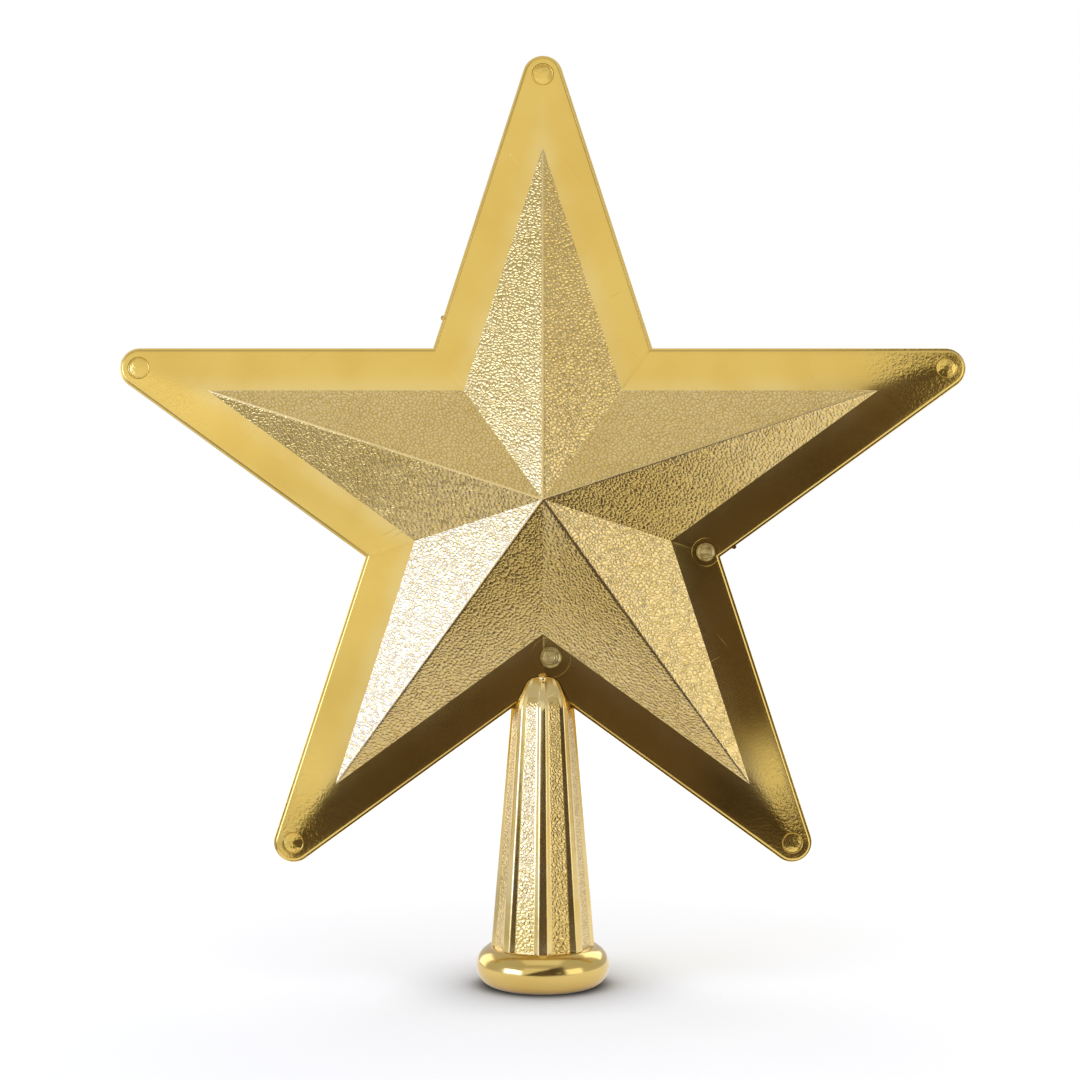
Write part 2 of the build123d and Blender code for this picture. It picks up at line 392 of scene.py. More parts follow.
@dataclass(frozen=True)
class PebbleGrain:
    """Leather-like moulded grain: domed pebbles between narrow creases, some run together into worms."""

    pebble: float = 0.74 * MM
    stretch: float = 1.4
    lean: float = 0.6
    bends: tuple[tuple[float, float], ...] = ((6.0 * MM, 2.2 * MM), (1.1 * MM, 0.5 * MM))
    height: float = 0.066 * MM
    lift_share: float = 0.4
    still_share: float = 0.7
    crease_share: float = 0.40
    worm_share: float = 0.27
    worm_size_share: float = 1.6
    worm_range: tuple[float, float] = (0.42, 0.62)
    wrap_radius: float = 0.0

    def spread(self, bench: NodeBench, place: Socket) -> Socket:
        """Place on the sheet that the grain is drawn on: the star's plane, or a cylinder unrolled.

        Args:
            bench: Tree that the pattern is built in.
            place: Position in metres.

        Returns:
            The place as a vector of two lengths.
        """
        parts = bench.parts(place)
        across = parts[0]
        if self.wrap_radius > 0:
            across = bench.product(bench.math("ARCTAN2", parts[1], parts[0]), self.wrap_radius)
        return bench.add("ShaderNodeCombineXYZ", {"X": across, "Y": parts[2]}).outputs[0]

    def field(self, bench: NodeBench, place: Socket) -> Socket:
        """Height of the grain from 0 in a crease to 1 on a pebble.

        Args:
            bench: Tree that the pattern is built in.
            place: Position in metres.

        Returns:
            The height output.
        """
        sheet = self.spread(bench, place)
        bent = sheet
        for size, reach in self.bends:
            drift = bench.vector("SUBTRACT", bench.noise(sheet, size, 1.0, "Color"), (0.5, 0.5, 0.5))
            bent = bench.vector("ADD", bent, bench.scaled(drift, reach))
        turn = bench.add(
            "ShaderNodeVectorRotate", {"Vector": bent, "Angle": self.lean}, rotation_type="Z_AXIS"
        ).outputs[0]
        squeezed = bench.vector("MULTIPLY", turn, (1 / self.stretch, 1.0, 0.0))
        edge = bench.add(
            "ShaderNodeTexVoronoi",
            {"Vector": squeezed, "Scale": 1 / self.pebble},
            feature="DISTANCE_TO_EDGE",
            voronoi_dimensions="2D",
        ).outputs["Distance"]
        pebbles = bench.rise(edge, 0.0, self.crease_share)
        worms = bench.noise(squeezed, self.worm_size_share * self.pebble, 1.0)
        joined = bench.product(bench.math("SUBTRACT", 1.0, pebbles), bench.rise(worms, *self.worm_range))
        return bench.math("MULTIPLY_ADD", joined, self.worm_share, pebbles)

    def lift(self, bench: NodeBench, place: Socket, mask: Socket, height: Socket) -> Socket:
        """How far the grain raises a place above the smooth surface.

        Args:
            bench: Tree that the pattern is built in.
            place: Position in metres.
            mask: Share of grain at the place.
            height: Full height of the raised grain.

        Returns:
            The lift output, below zero in a crease.
        """
        field = bench.math("SUBTRACT", self.field(bench, place), self.still_share)
        return bench.product(field, mask, height)


@dataclass(frozen=True)
class WitnessLine:
    """Faint circle that a mould's pin insert leaves on the front border."""

    centre: Place
    radius: float
    height: float
    half_width: float = 0.10 * MM


@dataclass(frozen=True)
class TipFrost:
    """Speckled plating that sets in away from a centre, where the mould filled last."""

    centre: Place
    start: float
    full: float
    size: float = 0.7 * MM
    height: float = 0.045 * MM


@dataclass(frozen=True)
class PlatedFinish:
    """Bright plated and lacquered plastic, polished or grained."""

    name: str
    colour: Colour
    deep_colour: Colour
    roughness: float
    roughness_spread: float
    coat: float = 0.5
    coat_index: float = 1.5
    coat_roughness: float = 0.08
    ripple_size: float = 16.0 * MM
    ripple_height: float = 0.045 * MM
    peel_size: float = 0.55 * MM
    peel_height: float = 0.0035 * MM
    tone_size: float = 14.0 * MM
    tone_range: tuple[float, float] = (0.3, 0.7)
    bloom_colour: Colour = (0.78, 0.59, 0.22, 1.0)
    bloom_share: float = 0.2
    bloom_drift: float = 0.5
    # Colour of the painted shade in the lip's crack, also used to paint the nibs dark.
    painted_shade_colour: Colour = (0.16, 0.095, 0.022, 1.0)
    scratch_turns: tuple[float, float] = (0.5, -0.9)
    scratch_spacing: float = 0.9 * MM
    scratch_length: float = 60.0 * MM
    scratch_limit: float = 0.209375
    scratch_reach: float = 0.085
    scratch_height: float = 0.012 * MM
    speck_spacing: float = 12.0 * MM
    speck_radius: float = 0.16 * MM
    speck_core_share: float = 0.6
    speck_limit: float = 0.45
    speck_colour: Colour = (0.86, 0.80, 0.62, 1.0)
    grain: PebbleGrain | None = None
    # Painted shade: how much darker the grain's creases are made.
    crease_painted_shade: float = 0.15
    crease_top: float = 0.75
    witness: tuple[WitnessLine, ...] = ()
    frost: TipFrost | None = None

    def material(self) -> Material:
        """Build the node material.

        Returns:
            The material.
        """
        material, bench, place = new_material(self.name)
        speck, shade = self.specks(bench, place), self.crease(bench, place)
        # The coat thins where shade is painted: in the grain's creases, in the lip's crack and on the nibs.
        bare = bench.math("MAXIMUM", shade, bench.shaded(PAINTED_SHADE_ATTRIBUTE))
        shader = bench.add(
            "ShaderNodeBsdfPrincipled",
            {
                "Base Color": self.tone(bench, place, speck, shade),
                "Metallic": 1.0,
                "Roughness": self.gloss(bench, place, speck),
                "Coat Weight": bench.math("MULTIPLY_ADD", bare, -self.coat, self.coat),
                "Coat IOR": self.coat_index,
                "Coat Roughness": self.coat_roughness,
                "Normal": self.relief(bench, place),
            },
        )
        bench.add("ShaderNodeOutputMaterial", {"Surface": shader.outputs[0]})
        return material

    def crease(self, bench: NodeBench, place: Socket) -> Socket | float:
        """Share of crease at a place, from 0 on a pebble to 1 between pebbles.

        Args:
            bench: Tree of the material.
            place: Position in metres.

        Returns:
            The share output, or 0 where the finish has no grain.
        """
        if self.grain is None:
            return 0.0
        crease = bench.fall(self.grain.field(bench, place), 0.0, self.crease_top)
        return bench.product(crease, bench.shaded(GRAIN_ATTRIBUTE))

    def tone(self, bench: NodeBench, place: Socket, speck: Socket, shade: Socket | float) -> Socket:
        """Colour with a slow drift, a pale bloom, painted shade in the grain's creases and in the lip's
        crack, nibs painted dark, and dust specks.

        Args:
            bench: Tree of the material.
            place: Position in metres.
            speck: Share of dust.
            shade: Share of crease, where shade is painted.

        Returns:
            The colour output.
        """
        drift = bench.rise(bench.noise(place, self.tone_size, 2.0), *self.tone_range)
        plated = bench.mixed(drift, self.deep_colour, self.colour)
        bloom = bench.math("MULTIPLY_ADD", drift, self.bloom_drift, self.bloom_share)
        bloom = bench.product(bloom, bench.shaded(BLOOM_ATTRIBUTE))
        plated = bench.mixed(bloom, plated, self.bloom_colour)
        # Painted shade: the base colour darkens in the grain's creases.
        plated = bench.scaled(plated, bench.math("MULTIPLY_ADD", shade, -self.crease_painted_shade, 1.0))
        # Painted shade in the lip's crack, and the nibs painted dark.
        plated = bench.mixed(bench.shaded(PAINTED_SHADE_ATTRIBUTE), plated, self.painted_shade_colour)
        return bench.mixed(speck, plated, self.speck_colour)

    def specks(self, bench: NodeBench, place: Socket) -> Socket:
        """Share of dust at a place: small round specks in some cells of a loose scatter.

        Args:
            bench: Tree of the material.
            place: Position in metres.

        Returns:
            The share output.
        """
        cells = bench.add("ShaderNodeTexVoronoi", {"Vector": place, "Scale": 1 / self.speck_spacing})
        reach = self.speck_radius / self.speck_spacing
        near = bench.fall(cells.outputs["Distance"], self.speck_core_share * reach, reach)
        return bench.product(near, bench.math("GREATER_THAN", cells.outputs["Color"], self.speck_limit))

    def gloss(self, bench: NodeBench, place: Socket, speck: Socket) -> Socket:
        """Roughness with soft patches, rougher worn edges and bloom, rougher where shade is painted, and
        dull specks.

        Args:
            bench: Tree of the material.
            place: Position in metres.
            speck: Share of dust.

        Returns:
            The roughness output.
        """
        patches = bench.noise(place, self.tone_size / 2, 3.0)
        low = self.roughness - self.roughness_spread / 2
        gloss = bench.math("MULTIPLY_ADD", patches, self.roughness_spread, low)
        for name in (WEAR_ATTRIBUTE, BLOOM_ATTRIBUTE, PAINTED_SHADE_ATTRIBUTE):
            gloss = bench.math("MULTIPLY_ADD", bench.shaded(name), self.roughness_spread, gloss)
        return bench.math("MULTIPLY_ADD", speck, 1 - self.roughness, gloss)

    def scratches(self, bench: NodeBench, place: Socket, turn: float) -> Socket:
        """Depth of sparse hairlines in one direction.

        Args:
            bench: Tree of the material.
            place: Position in metres.
            turn: Direction of the hairlines in the star's plane, in radians.

        Returns:
            The depth output, 0 to 1.
        """
        along = bench.add(
            "ShaderNodeVectorRotate", {"Vector": place, "Angle": turn}, rotation_type="Y_AXIS"
        ).outputs[0]
        drawn = bench.vector("MULTIPLY", along, (1 / self.scratch_length, 0.0, 1 / self.scratch_spacing))
        cells = bench.add("ShaderNodeTexVoronoi", {"Vector": drawn, "Scale": 1.0})
        near = bench.fall(cells.outputs["Distance"], self.scratch_reach / 2, self.scratch_reach)
        return bench.product(near, bench.math("LESS_THAN", cells.outputs["Color"], self.scratch_limit))

    def circle(self, bench: NodeBench, place: Socket, line: WitnessLine) -> Socket:
        """Depth of one witness circle, on the front only.

        Args:
            bench: Tree of the material.
            place: Position in metres.
            line: The circle.

        Returns:
            The depth output, 0 to 1.
        """
        radius = bench.from_axis(place, line.centre)
        off = bench.math("ABSOLUTE", bench.math("SUBTRACT", radius, line.radius))
        in_front = bench.math("LESS_THAN", bench.parts(place)[1], 0.0)
        return bench.product(bench.fall(off, 0.0, line.half_width), in_front)

    def relief(self, bench: NodeBench, place: Socket) -> Socket:
        """Normal with a slow ripple, a fine peel, any speckle, and either grain or hairlines and circles.

        Args:
            bench: Tree of the material.
            place: Position in metres.

        Returns:
            The normal output.
        """
        steps: list[tuple[Socket, float]] = [
            (bench.noise(place, self.ripple_size, 1.0), self.ripple_height),
            (bench.noise(place, self.peel_size, 2.0), self.peel_height),
        ]
        if self.frost is not None:
            radius = bench.from_axis(place, self.frost.centre)
            share = bench.rise(radius, self.frost.start, self.frost.full)
            speckle = bench.product(bench.noise(place, self.frost.size, 2.0), share)
            steps.append((speckle, self.frost.height))
        if self.grain is None:
            for turn in self.scratch_turns:
                steps.append((self.scratches(bench, place, turn), -self.scratch_height))
            for line in self.witness:
                steps.append((self.circle(bench, place, line), line.height))
        else:
            grain = bench.product(self.grain.field(bench, place), bench.shaded(GRAIN_ATTRIBUTE))
            steps.append((grain, self.grain.height))
        normal: Socket | None = None
        for height, distance in steps:
            inputs: dict = {"Height": height, "Distance": abs(distance), "Strength": 1.0}
            if normal is not None:
                inputs["Normal"] = normal
            normal = bench.add("ShaderNodeBump", inputs, invert=distance < 0).outputs[0]
        return normal


@dataclass(frozen=True)
class BareMetalFinish:
    """Dull turned metal of a bare pin, with fine turning marks about its own axis and stains."""

    name: str
    centre: Place
    colour: Colour = (0.58, 0.43, 0.15, 1.0)
    metal_share: float = 0.9
    roughness: float = 0.36
    mark_spacing: float = 0.30 * MM
    mark_height: float = 0.006 * MM
    stain_size: float = 1.4 * MM
    stain_range: tuple[float, float] = (0.42, 0.7)
    stain_roughness: float = 0.2
    stain_colour: Colour = (0.28, 0.20, 0.07, 1.0)

    def material(self) -> Material:
        """Build the node material.

        Returns:
            The material.
        """
        material, bench, place = new_material(self.name)
        radius = bench.from_axis(place, self.centre)
        marks = bench.math("SINE", bench.product(radius, 2 * math.pi / self.mark_spacing))
        stain = bench.rise(bench.noise(place, self.stain_size, 3.0), *self.stain_range)
        colour = bench.mixed(stain, self.colour, self.stain_colour)
        bump = bench.add("ShaderNodeBump", {"Height": marks, "Distance": self.mark_height}).outputs[0]
        shader = bench.add(
            "ShaderNodeBsdfPrincipled",
            {
                "Base Color": colour,
                "Metallic": self.metal_share,
                "Roughness": bench.math("MULTIPLY_ADD", stain, self.stain_roughness, self.roughness),
                "Normal": bump,
            },
        )
        bench.add("ShaderNodeOutputMaterial", {"Surface": shader.outputs[0]})
        return material


class GeometryTree:
    """A Geometry Nodes tree with named size inputs, run once on a piece."""

    def __init__(self, name: str, sizes: dict[str, float]) -> None:
        """Make the tree and its inputs.

        Args:
            name: Name of the tree.
            sizes: Value of each named input.
        """
        self.tree = bpy.data.node_groups.new(name, "GeometryNodeTree")
        self.sizes = sizes
        self.finishes: list[Material] = []
        face = self.tree.interface
        face.new_socket("Geometry", in_out="INPUT", socket_type="NodeSocketGeometry")
        for size in sizes:
            face.new_socket(size, in_out="INPUT", socket_type="NodeSocketFloat")
        face.new_socket("Geometry", in_out="OUTPUT", socket_type="NodeSocketGeometry")
        self.bench = NodeBench(self.tree)
        self.source = self.bench.add("NodeGroupInput")

    def size(self, name: str) -> Socket:
        """Output of one named input."""
        return self.source.outputs[name]

    def dress(self, geometry: Socket, plain: Material, grained: Material, where: Socket) -> None:
        """End the tree: realise what is instanced and set the two finishes.

        Args:
            geometry: Geometry so far.
            plain: Finish of most faces.
            grained: Finish of the chosen faces.
            where: Which faces are grained.
        """
        self.finishes = [plain, grained]
        real = self.bench.add("GeometryNodeRealizeInstances", {"Geometry": geometry}).outputs[0]
        base = self.bench.add("GeometryNodeSetMaterial", {"Geometry": real, "Material": plain}).outputs[0]
        both = self.bench.add(
            "GeometryNodeSetMaterial", {"Geometry": base, "Selection": where, "Material": grained}
        ).outputs[0]
        self.bench.add("NodeGroupOutput", {"Geometry": both})

    def run(self, piece: Object) -> None:
        """Run the tree on a piece and keep the result as its mesh.

        Args:
            piece: The object.
        """
        piece.data.materials.clear()
        for finish in self.finishes:
            piece.data.materials.append(finish)
        modifier = piece.modifiers.new(self.tree.name, "NODES")
        modifier.node_group = self.tree
        for item in self.tree.interface.items_tree:
            if item.in_out == "INPUT" and item.name in self.sizes:
                modifier[item.identifier] = float(self.sizes[item.name])
        settle(piece)


def ride_as(piece: Object, node: str) -> None:
    """Let a finished piece stand for its node on the root body.

    Args:
        piece: The finished object.
        node: The node that it replaces.
    """
    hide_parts(node)
    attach(piece, ROOT)
    triangles = sum(len(p.vertices) - 2 for p in piece.data.polygons)
    LOG.info("%s stands for %s with %d triangles", piece.name, node, triangles)


@dataclass(frozen=True)
class StarPlan:
    """Outline of the five-pointed star in its own plane and the depths of one shell."""

    arm_count: int = 5
    apex_radius: float = 122.0 * MM
    tip_radius: float = 5.0 * MM
    centre_height: float = 121.3 * MM
    edge_depth: float = 3.0 * MM
    border_rise: float = 0.6 * MM
    relief_height: float = 13.2 * MM
    border_width: float = 10.6 * MM
    wall: float = 1.5 * MM
    lip_width: float = 0.6 * MM
    lip_depth: float = 1.1 * MM
    edge_round: float = 0.5 * MM
    lip_round: float = 0.15 * MM
    seam_chamfer: float = 0.08 * MM
    tip_softness: float = 4.0 * MM
    ridge_round: float = 0.8 * MM
    mitre_groove: float = 0.010 * MM

    @property
    def half_step(self) -> float:
        """Angle from a tip ray to the next corner ray."""
        return math.pi / self.arm_count

    @property
    def edge_angle(self) -> float:
        """Angle from a tip ray to the outward direction of the arm's edge."""
        return 2 * self.half_step

    @property
    def arm_half_width(self) -> float:
        """Distance from the star's centre to an edge's line."""
        return self.apex_radius * math.cos(self.edge_angle)

    @property
    def tip_centre_radius(self) -> float:
        """Distance from the star's centre to the centre of a rounded tip."""
        return self.apex_radius - self.tip_radius / math.cos(self.edge_angle)

    @property
    def waist_radius(self) -> float:
        """Distance from the star's centre to an inner corner."""
        return self.arm_half_width / math.cos(self.half_step)

    @property
    def edge_inset(self) -> float:
        """Inset at which the border starts."""
        return self.lip_width + self.edge_round

    @property
    def base_depth(self) -> float:
        """Depth at the raised star's foot."""
        return self.edge_depth + self.border_rise

    @property
    def border_slope(self) -> float:
        """Rise of the border for each unit of inset."""
        return self.border_rise / (self.border_width - self.edge_inset)

    @property
    def facet_slope(self) -> float:
        """Rise of a facet for each unit of inset."""
        return self.relief_height / (self.arm_half_width - self.border_width)

    def tip_angle(self, arm: Arm) -> float:
        """Angle of an arm's tip ray."""
        return math.pi / 2 + arm.value * 2 * self.half_step

    def polar(self, radius: float, angle: float) -> tuple[float, float]:
        """Point of the star's plane at a radius and an angle."""
        return radius * math.cos(angle), radius * math.sin(angle)

    def place(self, point: tuple[float, float]) -> Place:
        """Place in the frame of a point of the star's plane."""
        return point[0], 0.0, point[1] + self.centre_height

    def stand(self, piece: Object, point: tuple[float, float], side: int = 1) -> Object:
        """Turn a piece from the upright axis to a point of the star, with its own height as depth.

        Args:
            piece: Object turned about the upright axis.
            point: Where its axis goes in the star's plane.
            side: 1 to face the front, -1 to face the back.

        Returns:
            The same object, in place.
        """
        points = coordinates(piece.data)
        across, depth = point[0] + points[:, 0], -side * points[:, 2]
        up = point[1] + side * points[:, 1] + self.centre_height
        move_to(piece, np.column_stack([across, depth, up]))
        return piece

    def folded(self, plane: np.ndarray) -> tuple[np.ndarray, np.ndarray, np.ndarray]:
        """Places in the star's plane as seen from the nearest arm.

        Args:
            plane: Points in the star's plane, from its centre.

        Returns:
            Distance along the tip ray, distance beside it and inset from the arm's edge or rounded tip.
        """
        angle = np.arctan2(plane[:, 1], plane[:, 0]) - math.pi / 2 + self.half_step
        angle = np.abs(np.mod(angle, 2 * self.half_step) - self.half_step)
        radius = np.hypot(plane[:, 0], plane[:, 1])
        along, beside = radius * np.cos(angle), radius * np.sin(angle)
        reach = along * math.cos(self.edge_angle) + beside * math.sin(self.edge_angle)
        past = along - self.tip_centre_radius
        in_tip = past * math.sin(self.edge_angle) > beside * math.cos(self.edge_angle)
        inset = np.where(in_tip, self.tip_radius - np.hypot(past, beside), self.arm_half_width - reach)
        return along, beside, inset

    def border_depth(self, inset: float) -> float:
        """Depth of the sloped border at an inset."""
        return self.edge_depth + (inset - self.edge_inset) * self.border_slope


@dataclass
class StarShell:
    """One half of the star: rim, sloped border and raised star with grained facets."""

    plan: StarPlan
    side: Side
    grain: PebbleGrain
    facet_step: float = 0.385 * MM
    border_step: float = 1.1 * MM
    hidden_step: float = 3.0 * MM
    tip_steps: int = 14
    border_rows: int = 10
    rim_steps: int = 5
    lip_steps: int = 3
    tip_blend_share: float = 0.8
    edge_fade: float = 1.0 * MM
    ridge_fade: float = 0.55 * MM
    support: float = 0.12 * MM
    mitre_half_width: float = 0.13 * MM
    bloom_width: float = 5.0 * MM
    nib_radius: float = 0.6 * MM
    nib_round: float = 0.12 * MM
    nib_columns: int = 24
    # Painted shade: how dark the nibs are painted, and how deep the shade painted in the lip's crack is.
    nib_painted_shade: float = 0.7
    crack_painted_shade: float = 0.9
    rim_solid_width: float = 12.0 * MM
    weld_distance: float = 0.002 * MM
    crease_angle: float = 34.0

    def row(self, inset: float, step: float, mitred: bool = False) -> np.ndarray:
        """Points at one inset from the parting outline, from the corner ray to the tip ray.

        Args:
            inset: Distance inward from the outline.
            step: Distance between points.
            mitred: Whether a point lies close beside the corner ray.

        Returns:
            The points beside an arm that lies along the first axis.
        """
        plan = self.plan
        reach = plan.arm_half_width - inset
        if reach < self.weld_distance:
            return np.zeros((1, 2))
        outward = np.array([math.cos(plan.edge_angle), math.sin(plan.edge_angle)])
        onward = np.array([outward[1], -outward[0]])
        start = reach * math.tan(plan.half_step)
        end = reach * math.tan(plan.edge_angle)
        tip_round = plan.tip_radius - inset
        if tip_round > 0:
            end = plan.tip_centre_radius * math.sin(plan.edge_angle)
        count = max(1, round((end - start) / step))
        places = np.linspace(start, end, count + 1)
        if mitred:
            places = np.insert(places, 1, start + self.mitre_half_width)
        points = reach * outward + places[:, None] * onward
        if tip_round > 0:
            turn = np.linspace(plan.edge_angle, 0, self.tip_steps + 1)[1:]
            bow = tip_round * np.stack([np.cos(turn), np.sin(turn)], axis=1)
            points = np.vstack([points, bow + [plan.tip_centre_radius, 0]])
        points[-1, 1] = 0
        return points

    def dip(self, points: np.ndarray, reach: np.ndarray | float) -> np.ndarray:
        """How much inset a rounded tip ray takes away at each point.

        Args:
            points: Points beside the arm.
            reach: How far apart the two edge distances may be to blend.

        Returns:
            The inset taken away.
        """
        apart = 2 * np.abs(points[:, 1]) * math.sin(self.plan.edge_angle)
        reach = np.maximum(reach, self.weld_distance)
        return np.clip(reach - apart, 0, None) ** 2 / (4 * reach)

    def rows(self) -> list[tuple[np.ndarray, bool]]:
        """All rows of half an arm, from the raised star's peak over the rim to the inner peak.

        Returns:
            The points of each row and whether the band that starts there is grained.
        """
        plan = self.plan
        rows: list[tuple[np.ndarray, bool]] = []

        def add(depth: np.ndarray | float, points: np.ndarray, grained: bool = False) -> None:
            """Keep a row at one depth or at a depth for each point."""
            rows.append((np.column_stack([points, np.broadcast_to(depth, len(points))]), grained))

        tilt = math.atan(plan.facet_slope)
        band = self.facet_step * math.cos(math.pi / 6) * math.cos(tilt)
        facet_rows = round((plan.arm_half_width - plan.border_width) / band)
        for inset in np.linspace(plan.arm_half_width, plan.border_width, facet_rows + 1)[:-1]:
            points = self.row(inset, self.facet_step)
            rise = inset - plan.border_width - self.dip(points, plan.ridge_round)
            add(plan.base_depth + np.maximum(rise, 0) * plan.facet_slope, points, True)

        border = np.linspace(plan.border_width, plan.edge_inset + self.support, self.border_rows)
        for inset in [*border, plan.edge_inset]:
            at_foot = inset == plan.border_width
            points = self.row(inset, self.facet_step if at_foot else self.border_step, not at_foot)
            to_tip = self.tip_blend_share * (plan.tip_centre_radius - points[:, 0])
            blend = np.clip(to_tip, 0, plan.tip_softness)
            rise = inset - plan.edge_inset - self.dip(points, blend)
            depth = plan.edge_depth + np.maximum(rise, 0) * plan.border_slope
            depth[0] -= 0 if at_foot else plan.mitre_groove
            add(depth, points)

        soft, wall_top = plan.lip_round, plan.edge_depth - plan.edge_round
        rim = [
            *arc((plan.edge_inset, wall_top), plan.edge_round, 90, 180, self.rim_steps)[1:],
            (plan.lip_width, plan.lip_depth + soft),
            (plan.lip_width - soft / 2, plan.lip_depth),
            (plan.lip_width - 2 * soft, plan.lip_depth),
            *arc((soft, plan.lip_depth - soft), soft, 90, 180, self.lip_steps),
            (0.0, plan.seam_chamfer),
            (plan.seam_chamfer, 0.0),
        ]
        for inset, depth in rim:
            add(depth, self.row(inset, self.border_step))

        hollow = self.rim_solid_width
        inner_foot = plan.base_depth - plan.wall
        for depth in (0.0, inner_foot):
            add(depth, self.row(hollow, self.hidden_step))
        inner_peak = inner_foot + (plan.arm_half_width - hollow) * plan.facet_slope
        add(inner_peak, np.zeros((1, 2)))
        return rows

    def half_arm(self) -> tuple[np.ndarray, list[tuple[int, int, int]], list[bool]]:
        """Mesh of half an arm, zipped row by row across the shorter diagonals.

        Returns:
            The points, the triangles and whether each triangle is grained.
        """
        points: list[tuple[float, ...]] = []
        triangles: list[tuple[int, int, int]] = []
        grained: list[bool] = []
        last: list[int] = []
        last_grained = False
        for row, row_grained in self.rows():
            this = list(range(len(points), len(points) + len(row)))
            points += [tuple(p) for p in row]
            a = b = 0
            while last and (a < len(last) - 1 or b < len(this) - 1):
                take_last = b == len(this) - 1
                if not take_last and a < len(last) - 1:
                    short = math.dist(points[last[a + 1]], points[this[b]])
                    take_last = short <= math.dist(points[last[a]], points[this[b + 1]])
                if take_last:
                    triangles.append((last[a], last[a + 1], this[b]))
                    a += 1
                else:
                    triangles.append((last[a], this[b + 1], this[b]))
                    b += 1
                grained.append(last_grained)
            last, last_grained = this, row_grained
        return np.array(points), triangles, grained

    def arm(self) -> Object:
        """Mesh object of one whole arm along the first axis, with its grain mask.

        Returns:
            The open arm, five of which make the closed shell.
        """
        points, triangles, grained = self.half_arm()
        mirrored = points * [1, -1, 1]
        count = len(points)
        flipped = [(c + count, b + count, a + count) for a, b, c in triangles]
        piece = new_piece(f"star_{self.side.value}_skin", np.vstack([points, mirrored]), triangles + flipped)
        attribute = piece.data.attributes.new(GRAINED_FACES, "BOOLEAN", "FACE")
        attribute.data.foreach_set("value", grained + grained)
        return piece

    def arms_tree(self, plain: Material, grained: Material) -> GeometryTree:
        """Tree that repeats an arm about the star's centre, turns the star into place and welds it.

        Args:
            plain: Polished finish.
            grained: Grained finish.

        Returns:
            The tree.
        """
        plan = self.plan
        tree = GeometryTree(
            f"star_{self.side.value}_arms",
            {
                "Arm step": 2 * plan.half_step,
                "Centre height": plan.centre_height,
                "Weld": self.weld_distance,
            },
        )
        bench = tree.bench
        line = bench.add("GeometryNodeMeshLine", {"Count": plan.arm_count, "Offset": (0.0, 0.0, 0.0)})
        index = bench.add("GeometryNodeInputIndex").outputs[0]
        turn = bench.math("MULTIPLY_ADD", index, tree.size("Arm step"), math.pi / 2)
        arms = bench.add(
            "GeometryNodeInstanceOnPoints",
            {
                "Points": line.outputs[0],
                "Instance": tree.size("Geometry"),
                "Rotation": bench.add("ShaderNodeCombineXYZ", {"Z": turn}).outputs[0],
            },
        ).outputs[0]
        lift = bench.add("ShaderNodeCombineXYZ", {"Z": tree.size("Centre height")})
        about = 0.0 if self.side is Side.FRONT else math.pi
        stood = bench.add(
            "GeometryNodeTransform",
            {
                "Geometry": bench.add("GeometryNodeRealizeInstances", {"Geometry": arms}).outputs[0],
                "Translation": lift.outputs[0],
                "Rotation": (math.pi / 2, 0.0, about),
            },
        ).outputs[0]
        welded = bench.add("GeometryNodeMergeByDistance", {"Geometry": stood, "Distance": tree.size("Weld")})
        tree.dress(welded.outputs[0], plain, grained, bench.named(GRAINED_FACES, "BOOLEAN"))
        return tree

    def grain_tree(self, plain: Material, grained: Material) -> GeometryTree:
        """Tree that raises the grain on the facets along their normals.

        Args:
            plain: Polished finish.
            grained: Grained finish.

        Returns:
            The tree.
        """
        lift = self.grain.height * self.grain.lift_share
        tree = GeometryTree(f"star_{self.side.value}_grain", {"Grain height": lift})
        bench = tree.bench
        place = bench.add("GeometryNodeInputPosition").outputs[0]
        height = self.grain.lift(bench, place, bench.named(LIFT_ATTRIBUTE), tree.size("Grain height"))
        normal = bench.add("GeometryNodeInputNormal").outputs[0]
        moved = bench.add(
            "GeometryNodeSetPosition",
            {"Geometry": tree.size("Geometry"), "Offset": bench.scaled(normal, height)},
        ).outputs[0]
        tree.dress(moved, plain, grained, bench.named(GRAINED_FACES, "BOOLEAN"))
        return tree

    def plane_points(self, piece: Object) -> np.ndarray:
        """Vertices of the shell as points of the star's plane, from its centre."""
        points = coordinates(piece.data)
        flip = 1 if self.side is Side.FRONT else -1
        return np.column_stack([flip * points[:, 0], points[:, 2] - self.plan.centre_height])

    def keep_masks(self, piece: Object) -> None:
        """Keep on each vertex how much it is grained, lifted, worn, painted with shade and bloomed.

        Args:
            piece: The shell.
        """
        plan = self.plan
        along, beside, inset = plan.folded(self.plane_points(piece))
        depth = np.abs(coordinates(piece.data)[:, 1])
        valley = along * math.sin(plan.half_step) - beside * math.cos(plan.half_step)
        facet = inset > plan.border_width - self.weld_distance
        facet &= depth > plan.base_depth - plan.mitre_groove
        grain = facet * smooth_share(beside, self.ridge_fade)
        store(piece.data, GRAIN_ATTRIBUTE, grain)
        lift = grain * smooth_share(inset - plan.border_width, self.edge_fade)
        store(piece.data, LIFT_ATTRIBUTE, lift * smooth_share(valley, self.edge_fade))
        wear = 1 - smooth_share(np.abs(inset - plan.edge_inset), 2 * plan.edge_round)
        store(piece.data, WEAR_ATTRIBUTE, wear)
